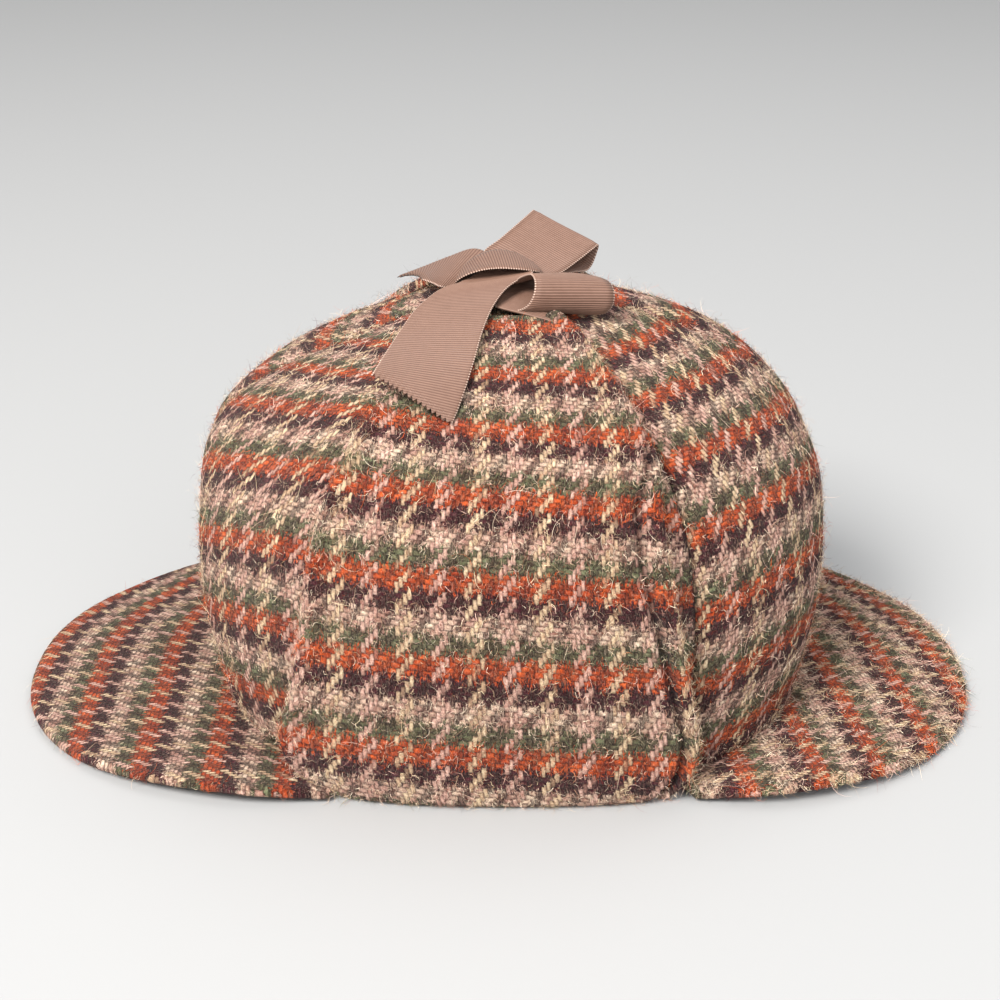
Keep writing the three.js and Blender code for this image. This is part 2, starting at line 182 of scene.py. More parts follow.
# Slopes are taken over these steps, and not right at the top, where all directions meet
TURN_STEP, SHARE_STEP, TOP_SHARE = 0.01, 0.002, 0.975
profile_line = smooth_line(CROWN_PROFILE[:, [1, 2, 0]], np.linspace(0, 1, PROFILE_SAMPLES))
profile_way = np.concatenate([[0], np.cumsum(np.linalg.norm(np.diff(profile_line, axis=0), axis=1))])
profile_length = profile_way[-1]


def oval_radius(turn, half_length, half_width, square):
    """How far out a squared oval lies in the direction turn."""
    across = np.abs(np.sin(turn)) / half_length
    ahead = np.abs(np.cos(turn)) / half_width
    return (across**square + ahead**square) ** (-1 / square)


def base_edge(turn):
    return BASE_SIDE + (BASE_ENDS - BASE_SIDE) * np.abs(np.sin(turn)) ** 3


def crown_face(turn, share):
    """Points of the face, by direction and by share of the way up the profile."""
    way = np.clip(share, 0, 1) * profile_length
    half_length, half_width, height = (np.interp(way, profile_way, profile_line[:, k]) for k in range(3))
    r = oval_radius(turn, np.maximum(half_length, 1e-3), np.maximum(half_width, 1e-3), CROWN_SQUARENESS)
    foot = base_edge(turn)
    rise = (height - BASE_HEIGHT) / (APEX - BASE_HEIGHT)
    return np.stack([r * np.sin(turn), -r * np.cos(turn), foot + rise * (APEX - foot)], -1)


def drawn_in(points, turn, share):
    """How deep the dents and the seams lie below the face."""
    depth = np.zeros(points.shape[:-1])
    for x, y, z, deep, reach in DENTS:
        depth += deep * np.exp(-((np.linalg.norm(points - np.array([x, y, z]), axis=-1) / reach) ** 2))
    seams = [crown_face(np.full(turn.shape, math.radians(a)), share) for a in SEAM_ANGLES]
    nearest = np.min([np.linalg.norm(points - seam, axis=-1) for seam in seams], axis=0)
    return depth + SEAM_DIP * np.exp(-((nearest / SEAM_HALF_WIDTH) ** 2))


def crown_cloth(turn, share, out):
    """Points that lie so many millimetres out from the face, dents and seams counted in."""
    points = crown_face(turn, share)
    normal = facing(crown_face, turn, np.clip(share, SHARE_STEP, TOP_SHARE), TURN_STEP, SHARE_STEP)
    return points + normal * (out - drawn_in(points, turn, share))[..., None]


print("from base edge to top along the cloth:", round(profile_length), "mm")

# %% [markdown]
# Each panel is a closed skin: an outer grid and an inner grid of points that meet at the borders, so
# the cloth has a real thickness and rounded edges. Its texture map counts yarns instead of pixels:
# across is the warp end, up is the weft pick. A weave then follows the cloth wherever it bends.

# %% Make a cloth piece
def yarn_skin(name, outer, inner, yarns, finish, shaded_hollow=None):
    """The hollow mark, from 0 to 1, says where the cloth is sewn down and hardly any light gets in; the
    finish paints shade there.
    """
    rows, columns = outer.shape[:2]
    count = rows * columns
    corner = np.arange(count).reshape(rows, columns)
    quads = np.stack([corner[:-1, :-1], corner[:-1, 1:], corner[1:, 1:], corner[1:, :-1]], -1).reshape(-1, 4)
    ring = np.concatenate([corner[0, :-1], corner[:-1, -1], corner[-1, :0:-1], corner[:0:-1, 0]])
    following = np.roll(ring, -1)
    rim = np.stack([ring + count, following + count, following, ring], -1)
    faces = np.concatenate([quads, quads[:, ::-1] + count, rim])
    mesh = bpy.data.meshes.new(name)
    points = np.concatenate([outer.reshape(-1, 3), inner.reshape(-1, 3)]) + [CROWN_X, 0, 0]
    mesh.from_pydata((points * MM).tolist(), [], faces.tolist())
    layer = mesh.uv_layers.new(name="yarns")
    corners = np.empty(len(mesh.loops), int)
    mesh.loops.foreach_get("vertex_index", corners)
    both = np.concatenate([yarns.reshape(-1, 2)] * 2)
    layer.data.foreach_set("uv", both[corners].astype(np.float32).ravel())
    # The hollow mark goes on the mesh, and the finish paints shade where it is high.
    if shaded_hollow is not None:
        marks = mesh.attributes.new("shaded_hollow", "FLOAT", "POINT")
        marks.data.foreach_set("value", np.concatenate([shaded_hollow.ravel()] * 2).astype(np.float32))
    mesh.shade_smooth()
    mesh.materials.append(finish)
    piece = bpy.data.objects.new(name, mesh)
    bpy.context.scene.collection.objects.link(piece)
    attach(piece, "root")
    return piece


print("a cloth piece has a map called yarns, and rides on the hat's one body")

# %% [markdown]
# The middle of a panel needs a point every few millimetres, but its rounded border needs one every half
# millimetre or so. One helper spaces the points that way, one says how thick the cloth is next to its
# border, and one measures lengths along the cloth.

# %% Close to a border
BORDER_PLACES = np.array([0, 0.15, 0.45, 0.9, 1.5, 2.3])
BORDER_THICKNESS = 0.02


def edge_shares(count, length):
    """Shares from 0 to 1 with extra ones within a few millimetres of both borders."""
    close = BORDER_PLACES / length
    return np.concatenate([close, np.linspace(close[-1], 1 - close[-1], count)[1:-1], 1 - close[::-1]])


def round_edge(distance, radius):
    """How thick rounded cloth is near its border, as a share of its full thickness."""
    inside = np.clip(distance / radius, 0, 1)
    return np.sqrt(np.maximum(1 - (1 - inside) ** 2, BORDER_THICKNESS**2))


def arc_lengths(points, axis):
    """Lengths along the rows or the columns of a grid of points, from its first border on."""
    steps = np.linalg.norm(np.diff(points, axis=axis), axis=-1)
    zero = np.zeros_like(np.take(steps, [0], axis=axis))
    return np.concatenate([zero, np.cumsum(steps, axis=axis)], axis=axis)


print("border samples on a 100 mm side:", len(edge_shares(20, 100)))

# %% [markdown]
# A woven finish is mostly sums, so a few helpers keep it readable. One starts a finish, one puts a node
# down, one feeds a value or a link into a socket and one fills in several values. The rest do a sum, a
# straight line or a blend.

# %% Nodes, links, sums and blends
def new_finish(name):
    made = bpy.data.materials.new(name)
    made.use_nodes = True
    tree = made.node_tree
    return made, tree, tree.nodes["Principled BSDF"]


def put(tree, kind, **settings):
    made = tree.nodes.new(kind)
    for key, value in settings.items():
        setattr(made, key, value)
    return made


def feed(tree, socket, value):
    if isinstance(value, bpy.types.NodeSocket):
        tree.links.new(value, socket)
    else:
        socket.default_value = value


def fill_in(node, values):
    for socket, value in values.items():
        node.inputs[socket].default_value = value


def sum_of(tree, operation, *values):
    made = put(tree, "ShaderNodeMath", operation=operation)
    for socket, value in zip(made.inputs, values):
        feed(tree, socket, value)
    return made.outputs[0]


def line_of(tree, value, slope, start):
    """slope * value + start"""
    return sum_of(tree, "MULTIPLY_ADD", value, slope, start)


def blend_of(tree, share, first, second, kind="RGBA", way="MIX"):
    """The first value where share is 0, the second where it is 1."""
    made = put(tree, "ShaderNodeMix", data_type=kind, clamp_factor=True)
    if kind == "RGBA":
        made.blend_type = way
    slots = {"FLOAT": (0, 2, 3, 0), "RGBA": (0, 6, 7, 2)}[kind]
    for slot, value in zip(slots, (share, first, second)):
        feed(tree, made.inputs[slot], value)
    return made.outputs[slots[3]]


print("helpers: new_finish, put, feed, fill_in, sum_of, line_of and blend_of")

# %% [markdown]
# Wool does a lot by chance, so a soft random speckle is the helper used most. A row of colours in equal
# steps makes stripes. And one helper raises or sinks the face a little, where no mesh could be fine
# enough: the height in the nodes is a share of the given distance.

# %% Speckles, steps and a raised face
def speckle(tree, place, scale, detail=2, swirl=0):
    made = put(tree, "ShaderNodeTexNoise")
    feed(tree, made.inputs["Vector"], place)
    fill_in(made, {"Scale": scale, "Detail": detail, "Distortion": swirl})
    return made.outputs["Fac"]


def colour_steps(tree, value, colours):
    made = put(tree, "ShaderNodeValToRGB")
    made.color_ramp.interpolation = "CONSTANT"
    ramp = made.color_ramp.elements
    while len(ramp) < len(colours):
        ramp.new(1)
    for k, colour in enumerate(colours):
        ramp[k].position = k / len(colours)
        ramp[k].color = colour
    feed(tree, made.inputs[0], value)
    return made.outputs[0]


def raise_face(tree, shader, height, strength, distance):
    raised = put(tree, "ShaderNodeBump")
    fill_in(raised, {"Strength": strength, "Distance": distance * MM})
    tree.links.new(height, raised.inputs["Height"])
    tree.links.new(raised.outputs[0], shader.inputs["Normal"])


print("helpers: speckle, colour_steps and raise_face")

# %% [markdown]
# The wool's colours are written as they look on a screen, from 0 to 255, and shaders want them as
# amounts of light. Shade doesn't turn wool grey but takes its colour deeper, so shade is a warm tint that
# is multiplied with the colour under it.

# %% The wool's colours
def linear(red, green, blue):
    """A colour as seen on a screen, 0 to 255, as the light values that shaders want."""
    shares = [c / 255 for c in (red, green, blue)]
    return [c / 12.92 if c <= 0.04045 else ((c + 0.055) / 1.055) ** 2.4 for c in shares] + [1]


def tinted(tree, colour, red, green, blue):
    return blend_of(tree, 1.0, colour, linear(red, green, blue), way="MULTIPLY")


def grey(share):
    return [share, share, share, 1]


CREAM, PINK, STRAW = linear(255, 236, 208), linear(244, 206, 188), linear(248, 226, 186)
GREEN, ORANGE = linear(122, 132, 98), linear(232, 108, 50)
PLUM, BARK = linear(88, 40, 50), linear(56, 26, 28)
print("orange as light values:", [round(c, 2) for c in ORANGE])

# %% [markdown]
# The cloth is a 2/2 twill: every yarn goes over two and under two, one step further in each row. An
# image could hold one repeat, but it would blur close up, so the nodes count yarns instead. The whole
# part of the map is the yarn's number, and the rest is the place across that yarn. Two helpers come
# first: one reads the map, and one gives each yarn, or each float of it, a chance of its own.

# %% Read the yarns' numbers
def yarn_map(tree, stretch=None, turn=0.0):
    """The yarn counts, or a stretched and turned copy of them to draw streaks with."""
    counts = put(tree, "ShaderNodeUVMap", uv_map="yarns").outputs[0]
    if stretch is None:
        return counts
    streaks = put(tree, "ShaderNodeMapping")
    fill_in(streaks, {"Scale": (*stretch, 1), "Rotation": (0, 0, turn)})
    tree.links.new(counts, streaks.inputs["Vector"])
    return streaks.outputs[0]


def chance_of(tree, first, second):
    """One random number for each pair of whole numbers."""
    pair = put(tree, "ShaderNodeCombineXYZ")
    feed(tree, pair.inputs[0], first)
    feed(tree, pair.inputs[1], second)
    made = put(tree, "ShaderNodeTexWhiteNoise", noise_dimensions="2D")
    tree.links.new(pair.outputs[0], made.inputs["Vector"])
    return made.outputs["Value"]


print("the map counts warp ends across and weft picks up")

# %% [markdown]
# A warp end lies on top where its number, less the number of the pick, is 0 or 1 when counted in fours.
# Elsewhere the pick lies on top. From the same two numbers follows how far along its float, the part
# that shows, each point is. A float is highest at its middle and sinks under the next yarn at its ends.

# %% Which yarn lies on top
TWILL = 4
WAVER, WAVER_SCALES = 0.8, (700, 560)
ROUNDNESS = 0.5


def twill(tree, place):
    counts = put(tree, "ShaderNodeSeparateXYZ")
    tree.links.new(yarn_map(tree), counts.inputs[0])
    # Spun wool is never straight, so the count wavers a little before it is cut into yarns.
    wavers = [line_of(tree, speckle(tree, place, scale), WAVER, -WAVER / 2) for scale in WAVER_SCALES]
    end, pick = (sum_of(tree, "ADD", counts.outputs[k], wavers[k]) for k in range(2))
    end_number, pick_number = (sum_of(tree, "FLOOR", x) for x in (end, pick))
    across_end = sum_of(tree, "SUBTRACT", end, end_number)
    across_pick = sum_of(tree, "SUBTRACT", pick, pick_number)
    lead = sum_of(tree, "SUBTRACT", end_number, pick_number)
    step = sum_of(tree, "FLOORED_MODULO", lead, TWILL)
    warp_up = sum_of(tree, "LESS_THAN", step, 1.5)
    warp_along = sum_of(tree, "ADD", sum_of(tree, "SUBTRACT", 1, step), across_pick)
    weft_along = sum_of(tree, "ADD", sum_of(tree, "SUBTRACT", step, 2), across_end)
    along = blend_of(tree, warp_up, weft_along, warp_along, "FLOAT")
    across = blend_of(tree, warp_up, across_pick, across_end, "FLOAT")
    hump = sum_of(tree, "SINE", sum_of(tree, "MULTIPLY", along, math.pi / 2))
    side = sum_of(tree, "SINE", sum_of(tree, "MULTIPLY", across, math.pi))
    height = sum_of(tree, "MULTIPLY", *(sum_of(tree, "POWER", x, ROUNDNESS) for x in (hump, side)))
    yarn = blend_of(tree, warp_up, pick_number, end_number, "FLOAT")
    luck = chance_of(tree, yarn, sum_of(tree, "FLOOR", sum_of(tree, "MULTIPLY", lead, 1 / TWILL)))
    return {"end": end_number, "pick": pick, "warp_up": warp_up, "height": height, "luck": luck}


print("floats are", TWILL // 2, "yarns long, and each has a chance of its own")

# %% [markdown]
# Both sets of yarns change colour in fours, which turns the twill into a small houndstooth check. The
# weft goes plum, orange, green and cream; the warp goes light, dark, light, dark. Brushing has dragged
# each colour a little over the next one, and loose wool hides part of the dark warp. No two floats are
# quite alike: some are dimmer, and some of the light ones have sunk into the cloth.

# %% The check's colours
YARNS_PER_COLOUR = 4
REPEAT = 4 * YARNS_PER_COLOUR
DRAG = 8
# How much of the warp the wool hides over each weft colour, and how much of that counts for each end
HIDDEN_OVER_WEFT = (0.3, 0.5, 0.42, 0.22)
HIDDEN_OF_WARP = (0.2, 1.0, 0.2, 1.0)
SUNK_CHANCE, SUNK_SHARE = 0.14, 0.4


def check_colours(tree, place, weave):
    """The colour of the yarn on top, and that of the weft alone."""
    drag = speckle(tree, yarn_map(tree, (1.7, 0.6)), 1.0, 5, 1.2)
    dragged = sum_of(tree, "ADD", weave["pick"], line_of(tree, drag, DRAG, -DRAG / 2))
    weft_share, warp_share = (
        sum_of(tree, "FRACT", sum_of(tree, "MULTIPLY", sum_of(tree, "ADD", number, 0.5), 1 / REPEAT))
        for number in (sum_of(tree, "FLOOR", dragged), weave["end"])
    )
    weft = colour_steps(tree, weft_share, [PLUM, ORANGE, GREEN, CREAM])
    warp = colour_steps(tree, warp_share, [STRAW, BARK, PINK, BARK])
    patches = line_of(tree, speckle(tree, place, 160, 3), 4, -1.6)
    weft = blend_of(tree, patches, tinted(tree, weft, 208, 182, 186), weft)
    covers = colour_steps(tree, weft_share, [grey(x) for x in HIDDEN_OVER_WEFT])
    counts_for = colour_steps(tree, warp_share, [grey(x) for x in HIDDEN_OF_WARP])
    sunk = sum_of(tree, "MULTIPLY", sum_of(tree, "LESS_THAN", weave["luck"], SUNK_CHANCE), SUNK_SHARE)
    hidden = sum_of(tree, "ADD", sum_of(tree, "MULTIPLY", covers, counts_for), sunk)
    warp = blend_of(tree, hidden, warp, weft)
    colour = blend_of(tree, weave["warp_up"], weft, warp)
    return blend_of(tree, weave["luck"], tinted(tree, colour, 204, 188, 184), colour), weft


print("the check repeats every", REPEAT, "yarns, both ways")

# %% [markdown]
# Heather yarn is spun from many shades, and wisps of loose wool cross all the yarns. The finish adds
# these two, paints shade between two yarns, and raises the yarns a little. Where a panel is sewn down,
# its mesh is marked as a hollow, and painted shade darkens the wool there too. Wool scatters light, so
# it is rough, with hardly any gloss.

# %% The tweed's finish
YARN_RISE = 0.55


def tweed_finish(name):
    made, tree, shader = new_finish(name)
    place = put(tree, "ShaderNodeTexCoord").outputs["Object"]
    weave = twill(tree, place)
    colour, weft = check_colours(tree, place, weave)
    shades, hairs = speckle(tree, place, 1500, 4), speckle(tree, place, 2600, 3)
    colour = blend_of(tree, line_of(tree, shades, -2.4, 1.55), colour, tinted(tree, colour, 176, 140, 130))
    # Painted shade: the colour is darkened where a yarn sinks between two others, where shadow falls.
    between = tinted(tree, colour, 70, 38, 36)
    colour = blend_of(tree, sum_of(tree, "POWER", weave["height"], 0.85), between, colour)
    # A wisp is a little lighter than the weft under it, and beside the wisps it is deeper.
    wisp = speckle(tree, yarn_map(tree, (2.3, 1.2), 0.35), 1.0, 6, 2.5)
    lighter = blend_of(tree, 0.34, weft, linear(246, 214, 186))
    crossed = blend_of(tree, 0.38, colour, lighter)
    colour = blend_of(tree, line_of(tree, wisp, 7, -3.6), colour, crossed)
    colour = blend_of(tree, line_of(tree, wisp, -8, 3.4), colour, tinted(tree, colour, 160, 120, 114))
    # Painted shade: where the mesh is marked hollow, along the seams and the flap's sunk line, the colour is
    # darkened.
    shaded_hollow = put(tree, "ShaderNodeAttribute", attribute_name="shaded_hollow").outputs["Fac"]
    colour = blend_of(tree, shaded_hollow, colour, tinted(tree, colour, 92, 62, 56))
    tree.links.new(colour, shader.inputs["Base Color"])
    tree.links.new(line_of(tree, shades, 0.25, 0.75), shader.inputs["Roughness"])
    fill_in(shader, {"Sheen Weight": 0.05, "Sheen Roughness": 0.6, "Specular IOR Level": 0.1})
    fuzzy = line_of(tree, hairs, 0.8, line_of(tree, wisp, 1.6, weave["height"]))
    raise_face(tree, shader, fuzzy, 0.9, YARN_RISE)
    return made


tweed = tweed_finish("houndstooth_tweed")
print("tweed has", len(tweed.node_tree.nodes), "nodes")

# %% [markdown]
# The stripes of the weft run level round the crown, but each gore was cut a little askew, so they step
# at the seams. For each panel a short table says how far up its middle line each orange stripe lies,
# and two numbers say how the stripes tilt and bow. Sixteen picks go from one orange stripe to the next.

# %% Count the yarns of a panel
ORANGE_PICK = 6
GROUP_ENDS = 8
SPARE_STRIPES = 6


def stripe_yarns(points, stripe_ways, tilt, bow, group_widths, shift=0.0):
    """Warp and weft counts for a grid of points. stripe_ways are millimetres up the middle line at
    which orange stripes lie, group_widths the width of eight warp ends at those same places. Below the
    first stripe and above the last one, the nearest spacing goes on for a few spare stripes."""
    middle = points.shape[1] // 2
    across = arc_lengths(points, 1)
    across = across - across[:, [middle]]
    way = arc_lengths(points[:, [middle]], 0)
    level = way - tilt * across - bow * across**2
    ways = np.array(stripe_ways, float)
    first, last = ways[1] - ways[0], ways[-1] - ways[-2]
    more = np.arange(1, SPARE_STRIPES + 1)
    all_ways = np.concatenate([ways[0] - first * more[::-1], ways, ways[-1] + last * more])
    numbers = np.arange(-SPARE_STRIPES, len(ways) + SPARE_STRIPES)
    picks = np.interp(level, all_ways, numbers * REPEAT) + ORANGE_PICK
    widths = np.interp(level, ways, np.array(group_widths, float))
    ends = across / widths * GROUP_ENDS + shift
    return np.stack([ends, picks], -1)


print("picks between two orange stripes:", REPEAT)

# %% [markdown]
# A gore is a long triangle of cloth with bowed sides, and six of them make the crown. On gores 2 and 4
# the stripes lie where they do in the photograph. The other four have the same spacing, at heights of
# their own.

# %% Where the stripes lie on each gore
# stripe places, tilt, bow, widths of eight ends, and the end count at the middle
GORE_STRIPES = {
    "crown_gore_1": ([12, 37, 62, 87, 111, 134, 156], 0.1, -0.002, [10.4] * 7, 3),
    "crown_gore_2": (
        [15.2, 43.2, 69.4, 96, 118.8, 135.3], 0.345, -0.004, [11, 10.8, 10.6, 10.2, 9.6, 8.6], 2,
    ),
    "crown_gore_3": ([20, 45, 70, 95, 119, 142], 0, -0.001, [10.6] * 6, 5),
    "crown_gore_4": (
        [36.2, 61.6, 86.8, 109.4, 131.8, 153.6], -0.06, -0.0035, [10.6, 10.4, 10.2, 10, 9.6, 9.2], 6,
    ),
    "crown_gore_5": ([22, 47, 72, 97, 121, 144], -0.08, -0.002, [10.4] * 6, 1),
    "crown_gore_6": ([15, 40, 65, 90, 114, 137], 0.04, -0.001, [10.6] * 6, 7),
}
print("orange stripes on each gore:", [len(row[0]) for row in GORE_STRIPES.values()])

# %% [markdown]
# A worn panel is never perfectly smooth, and its free edges are fluffier than its middle. Both are small
# functions that every panel uses. The waves have lengths that never line up, so that no pattern shows.

# %% Soft waves and fluffy edges
FLUFF, FLUFF_REACH = 3, 2.5


def fluff(to_border):
    """How much more loose wool a place has, near a free edge of the cloth."""
    return 1 + FLUFF * np.exp(-to_border / FLUFF_REACH)


def soft_waves(points, size):
    x, y, z = (points[..., k] for k in range(3))
    along, across = np.sin(x / 17 + z / 23), np.sin(y / 13 - z / 19 + 1)
    return size * (along + across + np.sin((x + y) / 29 + z / 11 + 2)) / 3


print("a free edge has", round(float(fluff(0))), "times the loose wool of the middle")

# %% [markdown]
# Next to a seam the real cloth turns in and under, which leaves a narrow, dark valley. So the outer face
# sinks to the middle of the cloth at its border, over the last two millimetres, and its neighbour does
# the same. The soft waves fade out towards the seams and the lower edge, so that neighbours still meet.

# %% Shape and dress the gores
TOP_HOLE = 2.0
GORE_ACROSS, GORE_UP, GORE_WIDTH = 30, 90, 90
SEAM_TURN = 2.0
GORE_WAVE, GORE_WAVE_FADE = 0.7, 12
SEAM_SHADE, SEAM_SHADE_REACH = 0.7, 1.1

cloth = {}
outsides = {}
fluffy = {}
top = 1 - TOP_HOLE / profile_length
next_seams = SEAM_ANGLES[1:] + [SEAM_ANGLES[0] + 360]
for name, start, stop in zip(sorted(GORE_STRIPES), SEAM_ANGLES, next_seams):
    start, stop = math.radians(start), math.radians(stop)
    u, v = np.meshgrid(edge_shares(GORE_ACROSS, GORE_WIDTH), np.linspace(0, 1, GORE_UP))
    turn, share = start + (stop - start) * u, v * top
    smooth = crown_cloth(turn, share, np.zeros(turn.shape))
    reach = arc_lengths(smooth, 1)
    to_seam = np.minimum(reach, reach[:, [-1]] - reach)
    thick = TWEED / 2 * np.minimum(round_edge(to_seam, SEAM_TURN), 1)
    wave = soft_waves(smooth, GORE_WAVE) * np.clip(to_seam / GORE_WAVE_FADE, 0, 1) * np.clip(v * 8, 0, 1)
    outer = crown_cloth(turn, share, thick - TWEED / 2 + wave)
    inner = crown_cloth(turn, share, -thick - TWEED / 2 + wave)
    ways, tilt, bow, widths, shift = GORE_STRIPES[name]
    yarns = stripe_yarns(smooth, ways, tilt, bow, widths, shift)
    # Painted shade along each seam, darkest right at the seam.
    shaded_hollow = SEAM_SHADE * np.exp(-((to_seam / SEAM_SHADE_REACH) ** 2))
    cloth[name] = yarn_skin(name + "_tweed", outer, inner, yarns, tweed, shaded_hollow)
    outsides[name] = (outer, yarns)
    fluffy[name] = fluff(v * top * profile_length)
    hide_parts(name)
    print(name, "cloth", round(float(reach[:, -1].max())), "mm wide,", round(profile_length), "mm long")

# %% [markdown]
# A peak is tweed sewn over a stiff pad. The outlines of the two peaks are the ends of one long squared
# oval, and the front one reaches 9 mm further. A peak lies nearly flat on the table and lifts a little
# half way along each side. Its surface runs from under the crown's edge out to that outline.

# %% The peak's surface
GAP, PEAK_THICK = 0.3, 4.2
PEAK_CENTRE, BRIM_HALF_WIDTH, BRIM_SQUARENESS = 60, 85, 2.2
PEAK_END, PEAK_TAPER, PEAK_END_WIDTH = math.radians(36), math.radians(12), 0.72
PEAK_LIFT, LIFT_REACH, PEAK_ARCH = 4.6, 0.35, 1.2
# Which way each peak points along the hat, and how far its outline reaches
PEAK_REACH = {"front_peak": (-1, 112), "back_peak": (1, 103)}
HALVINGS = 40


def brim_radius(turn, reach):
    """How far out the outline lies, found by halving the stretch in which it must be."""
    near, far = np.zeros(turn.shape), np.full(turn.shape, 2.0 * (PEAK_CENTRE + reach))
    for _ in range(HALVINGS):
        middle = (near + far) / 2
        x = np.maximum(np.abs(middle * np.sin(turn)) - PEAK_CENTRE, 0) / reach
        y = np.abs(middle * np.cos(turn)) / BRIM_HALF_WIDTH
        inside = x**BRIM_SQUARENESS + y**BRIM_SQUARENESS < 1
        near, far = np.where(inside, middle, near), np.where(inside, far, middle)
    return near


def peak_middle(side, reach, u, v):
    """Points half way through the cloth, where u goes round the crown and v goes outwards."""
    turn = PEAK_END + (math.pi - 2 * PEAK_END) * u
    inner = oval_radius(turn, CROWN_PROFILE[0, 1], CROWN_PROFILE[0, 2], CROWN_SQUARENESS) - TWEED
    from_end = np.minimum(turn - PEAK_END, math.pi - PEAK_END - turn) / PEAK_TAPER
    full = np.sin(np.minimum(from_end, 1) * math.pi / 2)
    width = (brim_radius(turn, reach) - inner) * (PEAK_END_WIDTH + (1 - PEAK_END_WIDTH) * full)
    r = inner + width * v
    across = np.abs(np.sin(turn))
    lift = PEAK_LIFT * np.sin(np.minimum(from_end * LIFT_REACH, 1) * math.pi) * (1 - across**6)
    inner_height = base_edge(turn) - 2 * GAP - PEAK_THICK / 2
    outer_height = PEAK_THICK / 2 + lift
    height = inner_height + (outer_height - inner_height) * v + PEAK_ARCH * np.sin(v * math.pi) * across
    return np.stack([side * r * np.sin(turn), -r * np.cos(turn), height], -1)


outline = brim_radius(np.radians([90.0]), PEAK_REACH["front_peak"][1])
print("the front peak's outline lies", round(float(outline[0])), "mm from the crown's middle")

# %% [markdown]
# The stripes run across each peak, so the picks are counted along the hat and the ends across it. On
# the far side of the hat they bow back a little, and on the back peak they were cut askew.

# %% How the check lies on a peak
# Where each orange stripe lies, in millimetres along the hat from the middle of the frame
PEAK_STRIPES = {
    "front_peak": [45, 69, 92.8, 117.1, 141.6, 163.3, 187],
    "back_peak": [47.8, 72.8, 97.8, 118.1, 141.3, 162.8, 185.8],
}
PEAK_GROUP = 7.9
FRONT_BOW, BACK_BOW = 0.0068, 0.005
BACK_TILT, BACK_TILT_FROM = 0.15, -30


def peak_yarns(name, points):
    x, y = points[..., 0] + CROWN_X, points[..., 1]
    far_side = np.maximum(y, 0) ** 2
    if name == "front_peak":
        along = -(x - FRONT_BOW * far_side)
    else:
        along = x + BACK_TILT * (y - BACK_TILT_FROM) + BACK_BOW * far_side
    picks = np.interp(along, PEAK_STRIPES[name], np.arange(-3, 4) * REPEAT)
    return np.stack([y / PEAK_GROUP * GROUP_ENDS, picks + ORANGE_PICK], -1)


print("eight ends of a peak take", PEAK_GROUP, "mm")

# %% [markdown]
# The peak gets its two faces above and below that surface. They meet in a rounded edge all round. The
# rows of points come closer together towards the outline, where the rounding is.

# %% Shape and dress the peaks
PEAK_ACROSS, PEAK_AROUND, PEAK_ROWS, PEAK_WIDTH = 110, 300, 26, 62
PEAK_ROUNDING, PEAK_WAVE, PEAK_WAVE_FADE = 2.4, 0.5, 20
UP = np.array([0, 0, 1])
near_outline = 1 - np.array([2.4, 1.6, 0.9, 0.45, 0.15, 0]) / PEAK_WIDTH
outwards = np.concatenate([np.linspace(0, 0.95, PEAK_ROWS), near_outline])

for name, (side, reach) in PEAK_REACH.items():
    u, v = np.meshgrid(edge_shares(PEAK_ACROSS, PEAK_AROUND), outwards)
    middle = peak_middle(side, reach, u if side < 0 else 1 - u, v)
    if side < 0:
        middle = middle[:, ::-1]
    rim = np.linalg.norm(middle[[-1]] - middle, axis=-1)
    ends = np.minimum(arc_lengths(middle, 1), arc_lengths(middle[:, ::-1], 1)[:, ::-1])
    thick = PEAK_THICK / 2 * round_edge(rim, PEAK_ROUNDING) * round_edge(ends, PEAK_ROUNDING)
    wave = soft_waves(middle, PEAK_WAVE) * np.clip(rim / PEAK_WAVE_FADE, 0, 1) * np.clip(v * 3, 0, 1)
    outer = middle + UP * (thick + wave)[..., None]
    inner = middle + UP * (-thick + wave)[..., None]
    yarns = peak_yarns(name, middle)
    cloth[name] = yarn_skin(name + "_tweed", outer, inner, yarns, tweed)
    outsides[name] = (outer, yarns)
    fluffy[name] = fluff(np.minimum(rim, ends))
    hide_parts(name)
    print(name, "reaches", round(float(np.abs(outer[..., 0]).max())), "mm from the crown's middle")

# %% [markdown]
# A flap is two layers of tweed sewn together. It comes out from under the crown's edge, turns up in a
# soft fold on the table and lies along the crown's side up to its narrow tip under the bow. So its
# surface is read from the crown's own profile, and stands off it by the distance in the flap's table.

# %% The flap's surface
def side_point(x, height, square):
    key = np.maximum(height, BASE_HEIGHT)
    half_length = smooth_value(CROWN_PROFILE[:, 0], CROWN_PROFILE[:, 1], key)
    half_width = smooth_value(CROWN_PROFILE[:, 0], CROWN_PROFILE[:, 2], key)
    share = np.minimum(np.abs(x) / half_length, 0.97)
    return np.stack([x, -half_width * (1 - share**square) ** (1 / square), height + 0 * x], -1)


def flap_middle(u, v):
    """Points half way through the flap, where u goes from edge to edge and v from root to tip."""
    height, off, left, right, square = (smooth_value(FLAP_PLACES, FLAP_ROWS[:, k], v) for k in range(5))
    x = left + (right - left) * u
    point = side_point(x, height, square)
    key = np.maximum(height, BASE_HEIGHT + 2)
    normal = facing(lambda a, b: side_point(a, b, square), x, key, 0.5, 1)
    return point + normal * off[..., None]


widest = flap_middle(np.array([0.0, 1.0]), np.full(2, 0.4))
print("at its widest the flap is", round(float(widest[1, 0] - widest[0, 0])), "mm wide")

# %% [markdown]
# The flap's borders are turned in, so they stand a little proud. Along the edge towards the back peak, a
# seam on the inside pulls the cloth down to a narrow sunk line. To show, it needs lines of points of its
# own, less than a millimetre apart.

